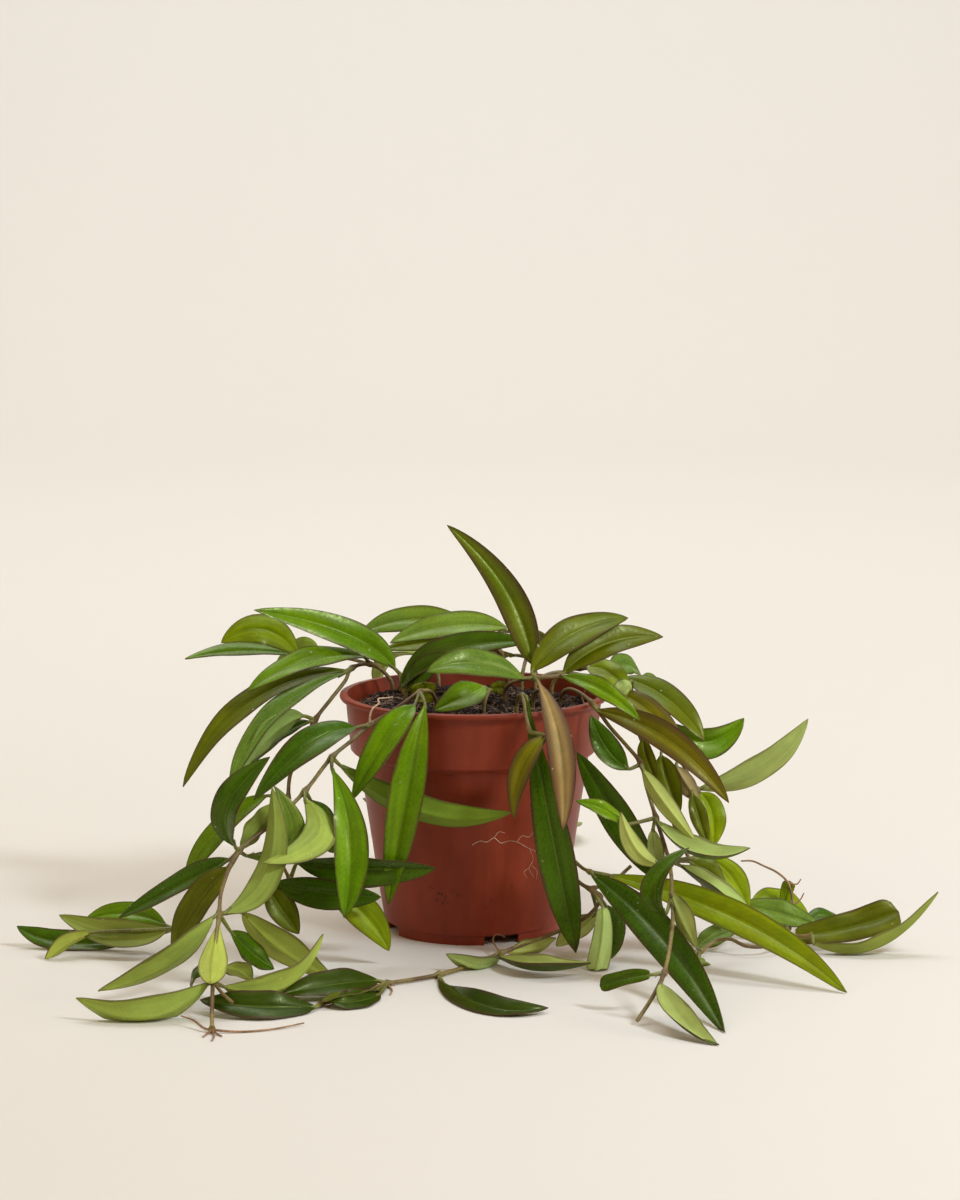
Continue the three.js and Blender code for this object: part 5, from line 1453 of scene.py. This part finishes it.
    @staticmethod
    def cut(pot: Piece, kind: str, centre: Triple, turn: float, size: Triple) -> None:
        """Cuts a box or a round hole out of the pot.

        Args:
            pot: The pot.
            kind: cube or cylinder.
            centre: The cutter's middle in millimetres.
            turn: Its turn about the upright axis.
            size: Its size in millimetres.
        """
        rest()
        centre = tuple(value * MM for value in centre)
        if kind == "cube":
            bpy.ops.mesh.primitive_cube_add(size=MM, location=centre, rotation=(0, 0, turn))
        else:
            bpy.ops.mesh.primitive_cylinder_add(vertices=24, radius=MM / 2, depth=MM, location=centre)
        cutter = bpy.context.object
        cutter.scale = size
        settle()
        apply(pot, "BOOLEAN", operation="DIFFERENCE", object=cutter, solver="EXACT")
        bpy.data.objects.remove(cutter)


@dataclass
class Soil:
    """The soil, a rough mound of crumbs and fibres. Sizes are in millimetres.

    Attributes:
        top: The height of its edge.
        foot: The height that it is modelled down to.
        radius: Its radius.
        narrowing: The share of the radius that is left at its foot.
        mound: How far it rises to the middle.
        rough: For each noise its waves per millimetre, its layer and its height.
        heap: The x, y and height of a small heap, and how widely it spreads.
        rings: How many rings of faces its top has.
        crumbs: How many crumbs lie on it.
        crumb_size: The size of the least crumb and what the largest one adds.
        fibres: How many fibres lie on it.
        fibre_radius: The least and greatest radius of a fibre.
        fibre_lift: How far a fibre runs above the soil.
        fibre_step: The least and greatest distance between two bends of a fibre.
        reach: The share of the radius that crumbs and fibres reach.
        draw: The source of random draws.
    """

    top: float = 100.0
    foot: float = 87.0
    radius: float = 54.6
    narrowing: float = 0.96
    mound: float = 3.8
    rough: tuple[Triple, ...] = ((0.09, 3.0, 1.3), (0.4, 9.0, 0.7))
    heap: tuple[float, float, float, float] = (-36.0, 20.0, 2.6, 300.0)
    rings: int = 22
    crumbs: int = 2000
    crumb_size: Span = (0.4, 1.2)
    fibres: int = 320
    fibre_radius: Span = (0.08, 0.17)
    fibre_lift: Span = (0.2, 1.6)
    fibre_step: Span = (0.8, 2.2)
    reach: float = 0.97
    draw: random.Random = field(default_factory=lambda: random.Random(5))

    def level(self, x: float, y: float) -> float:
        """Gives the height of the soil's surface at a place.

        Args:
            x: The place's real x.
            y: The place's real y.

        Returns:
            The height in millimetres.
        """
        out = min(1.0, math.hypot(x, y) / self.radius)
        rough = sum(noise.noise(Vector((x * waves, y * waves, layer))) * height
                    for waves, layer, height in self.rough)
        aside, back, high, spread = self.heap
        heap = high * math.exp(-((x - aside) ** 2 + (y - back) ** 2) / spread)
        return self.top + self.mound * (1 - out**2) + (rough + heap) * (1 - out**4)

    def anywhere(self, share: float) -> Triple:
        """Draws a place, as far out as a share of the soil's radius."""
        far = self.radius * share * math.sqrt(self.draw.random())
        return around(far, self.draw.uniform(0, TURN))

    def build(self) -> Piece:
        """Makes the mound, then its crumbs and fibres.

        Returns:
            The soil.
        """
        rest()
        depth = self.top - self.foot
        bpy.ops.mesh.primitive_cylinder_add(vertices=128, radius=self.radius * MM, depth=depth * MM,
                                            location=(0, 0, (self.top - depth / 2) * MM))
        mound = bpy.context.object
        settle()
        for face in mound.data.polygons:
            face.select = face.normal.z > 0.9
        bpy.ops.object.mode_set(mode="EDIT")
        for _ in range(self.rings):
            bpy.ops.mesh.inset(thickness=self.radius / (self.rings + 0.6) * MM)
        bpy.ops.object.mode_set(mode="OBJECT")
        for vertex in mound.data.vertices:
            if vertex.co.z > (self.top - 1) * MM:
                vertex.co.z = self.level(vertex.co.x / MM, vertex.co.y / MM) * MM
            else:
                vertex.co.xy *= self.narrowing
        soften(mound, 40)
        mound.data.materials.append(COMPOST.material())
        soil = join([mound, self.scatter(mound.data.materials[0]), self.litter()], "soil_mound")
        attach(soil, "root")
        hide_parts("soil")
        return soil

    def scatter(self, finish: Material) -> Piece:
        """Models one crumb and scatters turned and squashed copies of it.

        Args:
            finish: The crumbs' material.

        Returns:
            The crumbs as one piece.
        """
        rest()
        bpy.ops.mesh.primitive_ico_sphere_add(subdivisions=1, radius=1)
        crumb = bpy.context.object
        corners = np.array([vertex.co for vertex in crumb.data.vertices])
        faces = [tuple(face.vertices) for face in crumb.data.polygons]
        bpy.data.objects.remove(crumb)
        least, added = self.crumb_size
        places, panels = [], []
        for _ in range(self.crumbs):
            x, y, _ = self.anywhere(self.reach)
            size = least + added * self.draw.random() ** 3
            way = Euler([self.draw.uniform(0, 6.3) for _ in range(3)]).to_matrix()
            shape = way @ Matrix.Diagonal((size * self.draw.uniform(0.8, 1.7), size, size * 0.6))
            rough = 1 + 0.25 * np.array([self.draw.uniform(-1, 1) for _ in corners])[:, None]
            start = len(places) * len(corners)
            places.append((corners * rough) @ np.array(shape).T + (x, y, self.level(x, y) + size * 0.25))
            panels += [tuple(start + corner for corner in face) for face in faces]
        mesh = bpy.data.meshes.new("crumbs")
        mesh.from_pydata((np.concatenate(places) * MM).tolist(), [], panels)
        mesh.materials.append(finish)
        return shown("crumbs", mesh)

    def litter(self) -> Piece:
        """Lays short bent fibres on the soil.

        Returns:
            The fibres as one piece.
        """
        lines = []
        for _ in range(self.fibres):
            here = Vector(self.anywhere(0.9))
            way = self.draw.uniform(0, TURN)
            places = []
            for _ in range(5):
                here.z = self.level(here.x, here.y) + self.draw.uniform(*self.fibre_lift)
                places.append(here.copy())
                way += self.draw.uniform(-0.8, 0.8)
                here = here + Vector(around(1.0, way)) * self.draw.uniform(*self.fibre_step)
                if here.xy.length > self.radius * self.reach:
                    break
            if len(places) > 2:
                line = smooth_path(places, THREAD_STEP)
                lines.append((line, [self.draw.uniform(*self.fibre_radius)] * len(line)))
        return strands("fibres", lines, 1, FIBRE.material())


@dataclass
class Roots:
    """The roots at the joints and on the pot's wall, and the dry tendril. Sizes are in millimetres.

    Attributes:
        pot: The pot that carries roots and dried soil.
        joints: The joints that carry hairs.
        hairs_each: How many hairs a joint has.
        hair: A hair's radius.
        flakes_each: How many flakes lie together.
        flake: The least and greatest radius of a flake, as a share of its spot's size.
        draw: The source of random draws.
    """

    pot: Pot
    joints: tuple[Reading, ...] = ((439, 976, -98), (387, 985, -114), (320, 1006, -150), (501, 953, -66),
                                   (664, 973, -160))
    hairs_each: int = 5
    hair: float = 0.22
    flakes_each: int = 5
    flake: Span = (0.16, 0.42)
    draw: random.Random = field(default_factory=lambda: random.Random(23))

    def on_pot(self) -> list[Route]:
        """Lists the pale dry roots, on the wall and over the rim.

        Returns:
            The roots.
        """
        runs = [
            (0.14, [(472, 845), (480, 841), (487, 842), (494, 838), (501, 843), (508, 841), (517, 842),
                    (526, 847), (537, 852)]),
            (0.09, [(494, 838), (499, 832), (505, 833)]),
            (0.09, [(517, 842), (522, 836), (529, 837), (534, 831)]),
            (0.09, [(530, 850), (533, 860), (529, 868), (534, 877)]),
            (0.08, [(529, 868), (524, 872), (527, 878)]),
            (0.08, [(532, 866), (537, 871), (536, 880)]),
        ]
        over_rim = [(370, 725, -54), (370, 716, -56), (373, 708, -57), (379, 703, -56), (378, 699, -55),
                    (386, 698, -54), (393, 697, -53)]
        return [*(Route(radius, [self.pot.on_wall(*seen, proud=radius) for seen in run])
                  for radius, run in runs), Route(0.45, over_rim)]

    def dirt(self) -> list[Route]:
        """Lists the flakes of dried soil on the pot's wall.

        Returns:
            The flakes.
        """
        spots = [(440, 893, 0.9), (446, 897, 0.7), (451, 891, 0.6), (457, 894, 0.45), (436, 899, 0.5),
                 (443, 902, 0.45), (449, 904, 0.35), (492, 901, 0.45), (450, 775, 0.4), (486, 908, 0.3),
                 (431, 887, 0.35)]
        found = []
        for across, down, size in spots:
            for _ in range(self.flakes_each):
                aside, below = self.draw.uniform(-2.5, 2.5), self.draw.uniform(-2.0, 2.0)
                ends = [self.pot.on_wall(across + aside + step * self.draw.uniform(-1.0, 1.0),
                                         down + below + step, proud=0.05) for step in (0.0, 1.2)]
                found.append(Route(size * self.draw.uniform(*self.flake), ends))
        return found

    def in_air(self) -> list[Route]:
        """Lists the roots that leave the stems.

        Returns:
            The roots.
        """
        tuft = (212, 1030, -192)
        return [
            Route(0.5, [tuft, (204, 1028, -190), (193, 1020, -184), (181, 1016, -180)]),
            Route(0.5, [tuft, (240, 1032, -192), (272, 1030, -188), (304, 1023, -180)]),
            Route(0.45, [tuft, (206, 1036, -196), (203, 1040, -200)]),
            Route(0.45, [tuft, (214, 1037, -198), (212, 1043, -206)]),
            Route(0.45, [tuft, (218, 1036, -196), (222, 1038, -199)]),
            Route(0.45, [(587, 681, 0), (586, 690, -2), (582, 697, -4), (584, 703, -5)]),
            Route(0.4, [(501, 953, -66), (495, 945, -56), (493, 939, -50), (497, 934, -46), (505, 937, -46)]),
            Route(0.45, [(439, 976, -98), (443, 984, -106), (447, 990, -118), (452, 995, -127)]),
            Route(0.45, [(387, 985, -114), (392, 992, -122), (390, 997, -130)]),
        ]

    def tendril(self) -> list[Route]:
        """Lists the dry tendril behind the stem on the right.

        Returns:
            The tendril and its two side shoots.
        """
        return [
            Route(0.6, [(790, 930, -30), (793, 905, -24), (788, 883, -20), (778, 873, -18), (764, 866, -16),
                        (752, 861, -15), (741, 861, -14)]),
            Route(0.4, [(788, 883, -20), (797, 884, -20), (801, 879, -20)]),
            Route(0.4, [(793, 905, -24), (800, 900, -24), (804, 893, -24)]),
        ]

    def hairs(self) -> list[Route]:
        """Grows short hairs at joints that touch the surface.

        Returns:
            The hairs.
        """
        found = []
        for joint in self.joints:
            for _ in range(self.hairs_each):
                start = lifted(joint, 1.6)
                way = Vector(around(1.0, self.draw.uniform(0, TURN), self.draw.uniform(-0.6, 0.4)))
                middle = start + way * self.draw.uniform(1.6, 3.0)
                end = middle + way * 1.5 + Vector((0, 0, -1.2))
                found.append(Route(self.hair, [start, lifted(middle, 0.4), lifted(end, 0.4)]))
        return found

    def build(self) -> list[Piece]:
        """Makes the roots and the tendril.

        Returns:
            The pieces.
        """
        kinds = (("wall_roots", self.on_pot(), ROOT), ("wall_flakes", self.dirt(), DRIED_SOIL),
                 ("aerial_roots", self.in_air() + self.hairs(), TENDRIL),
                 ("dry_tendril_twist", self.tendril(), TENDRIL))
        pieces = []
        for name, routes, finish in kinds:
            lines = []
            for route in routes:
                low = route.radius + THREAD_GAP
                line = smooth_path([lifted(reading, low) for reading in route.places], THREAD_STEP)
                radii = [route.radius * (1.1 - 0.5 * index / len(line)) for index in range(len(line))]
                lines.append((line, radii))
            piece = strands(name, lines, 2, finish.material())
            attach(piece, "root")
            pieces.append(piece)
        return pieces


@dataclass
class Studio:
    """The pale floor, the soft light and the camera. Sizes are in metres.

    Attributes:
        floor: The paper's display colour.
        air: The display colour of the air where it is seen.
        glow: The colour of the light that the air gives.
        strength: How strong that light is from the sides and from above.
        paper: The side of the floor, which rises as high behind the plant.
        behind: How far the middle of the floor lies behind the plant.
        bend: How widely the paper bends where it rises.
    """

    floor: Display = (235, 225, 210)
    air: Display = (238, 231, 218)
    glow: Colour = (1.0, 0.84, 0.65)
    strength: Span = (0.25, 0.46)
    paper: float = 4.0
    behind: float = 1.3
    bend: float = 1.4

    def build(self) -> None:
        """Sets up the floor, the light and the camera."""
        self.sweep()
        self.sky()
        self.lamp("key", (1.15, -1.0, 1.35), 0.4, 18.9, (0.85, 1.0, 1.2))
        self.lamp("side", (1.5, -0.45, 0.45), 0.5, 5.0, (1.0, 0.97, 0.95))
        self.lamp("fill", (-1.3, -1.0, 0.9), 1.2, 3.0, (1.0, 0.86, 0.68))
        self.lamp("back", (-0.5, 0.9, 1.5), 0.5, 2.0, (1.0, 0.99, 0.97))
        self.lamp("backdrop", (0.0, 1.2, 3.0), 2.5, 64.0, (0.88, 1.03, 1.2), (0.0, 3.2, 0.9))
        self.eye()

    def sweep(self) -> None:
        """Lays a pale paper floor that rises behind the plant."""
        rest()
        bpy.ops.mesh.primitive_plane_add(size=self.paper, location=(0, self.behind, 0))
        floor = bpy.context.object
        floor.name = "pale_floor"
        bpy.ops.object.mode_set(mode="EDIT")
        bpy.ops.mesh.select_all(action="DESELECT")
        bpy.ops.object.mode_set(mode="OBJECT")
        for edge in floor.data.edges:
            edge.select = all(floor.data.vertices[corner].co.y > 0 for corner in edge.vertices)
        bpy.ops.object.mode_set(mode="EDIT")
        bpy.ops.mesh.select_mode(type="EDGE")
        bpy.ops.mesh.extrude_region_move(TRANSFORM_OT_translate={"value": (0, 0, self.paper)})
        bpy.ops.object.mode_set(mode="OBJECT")
        settle()
        apply(floor, "BEVEL", width=self.bend, segments=24, limit_method="ANGLE", angle_limit=1.0)
        pick(floor)
        bpy.ops.object.shade_smooth()
        material = bpy.data.materials.new("pale_paper")
        material.use_nodes = True
        shader = material.node_tree.nodes["Principled BSDF"]
        shader.inputs["Base Color"].default_value = (*linear(*self.floor), 1)
        shader.inputs["Roughness"].default_value = 0.9
        shader.inputs["Specular IOR Level"].default_value = 0.1
        floor.data.materials.append(material)

    def sky(self) -> None:
        """Surrounds the plant with soft air, bright above and dim below, that looks like the pale paper."""
        world = bpy.data.worlds.new("soft_air")
        world.use_nodes = True
        graph = Graph(world.node_tree)
        height = graph.parts(graph.node("TexCoord").outputs["Generated"])[2]
        above = graph.ramp(height, 0.0, 1.0, *self.strength)
        seen = graph.node("LightPath").outputs["Is Camera Ray"]
        air = world.node_tree.nodes["Background"].inputs
        world.node_tree.links.new(graph.mix(seen, self.glow, linear(*self.air)), air["Color"])
        world.node_tree.links.new(graph.between(seen, above, 1.0), air["Strength"])
        bpy.context.scene.world = world
        bpy.context.scene.view_settings.view_transform = "Standard"

    @staticmethod
    def lamp(name: str, where: Triple, size: float, power: float, colour: Colour,
             aim: Triple = (0.0, 0.0, 0.08)) -> None:
        """Adds a soft lamp.

        Args:
            name: The lamp's name.
            where: Where it stands, in metres.
            size: The width of its face.
            power: Its power.
            colour: Its colour.
            aim: What it looks at, in metres.
        """
        light = bpy.data.lights.new(name, "AREA")
        light.shape = "DISK"
        light.size = size
        light.energy = power
        light.color = colour
        lamp = shown(name, light)
        lamp.location = where
        lamp.rotation_euler = (Vector(aim) - Vector(where)).to_track_quat("-Z", "Y").to_euler()

    @staticmethod
    def eye() -> None:
        """Adds the camera where the photograph was taken from."""
        camera = bpy.data.cameras.new("eye")
        camera.sensor_width = SENSOR
        camera.lens = FOCAL_LENGTH / PICTURE[1] * SENSOR
        camera.clip_start = 0.05
        camera.clip_end = 30
        eye = shown("eye", camera)
        eye.location = EYE * MM
        eye.rotation_euler = (math.pi / 2 - LOOK_DOWN, 0, 0)
        bpy.context.scene.camera = eye


def main() -> None:
    """Builds the potted plant and its studio."""
    logging.basicConfig(level=logging.INFO, format="%(name)s: %(message)s")
    Studio().build()
    pot = Pot()
    pieces = [pot.build(), Soil().build()]
    maker = LeafMaker()
    bark, stalk = STEM.material(), STALK.material()
    pieces += [vine.build(maker, bark, stalk) for vine in VINES]
    maker.retire()
    pieces += Roots(pot).build()
    for piece in pieces:
        LOG.info("%s: %d faces", piece.name, len(piece.data.polygons))


if __name__ == "__main__":
    main()
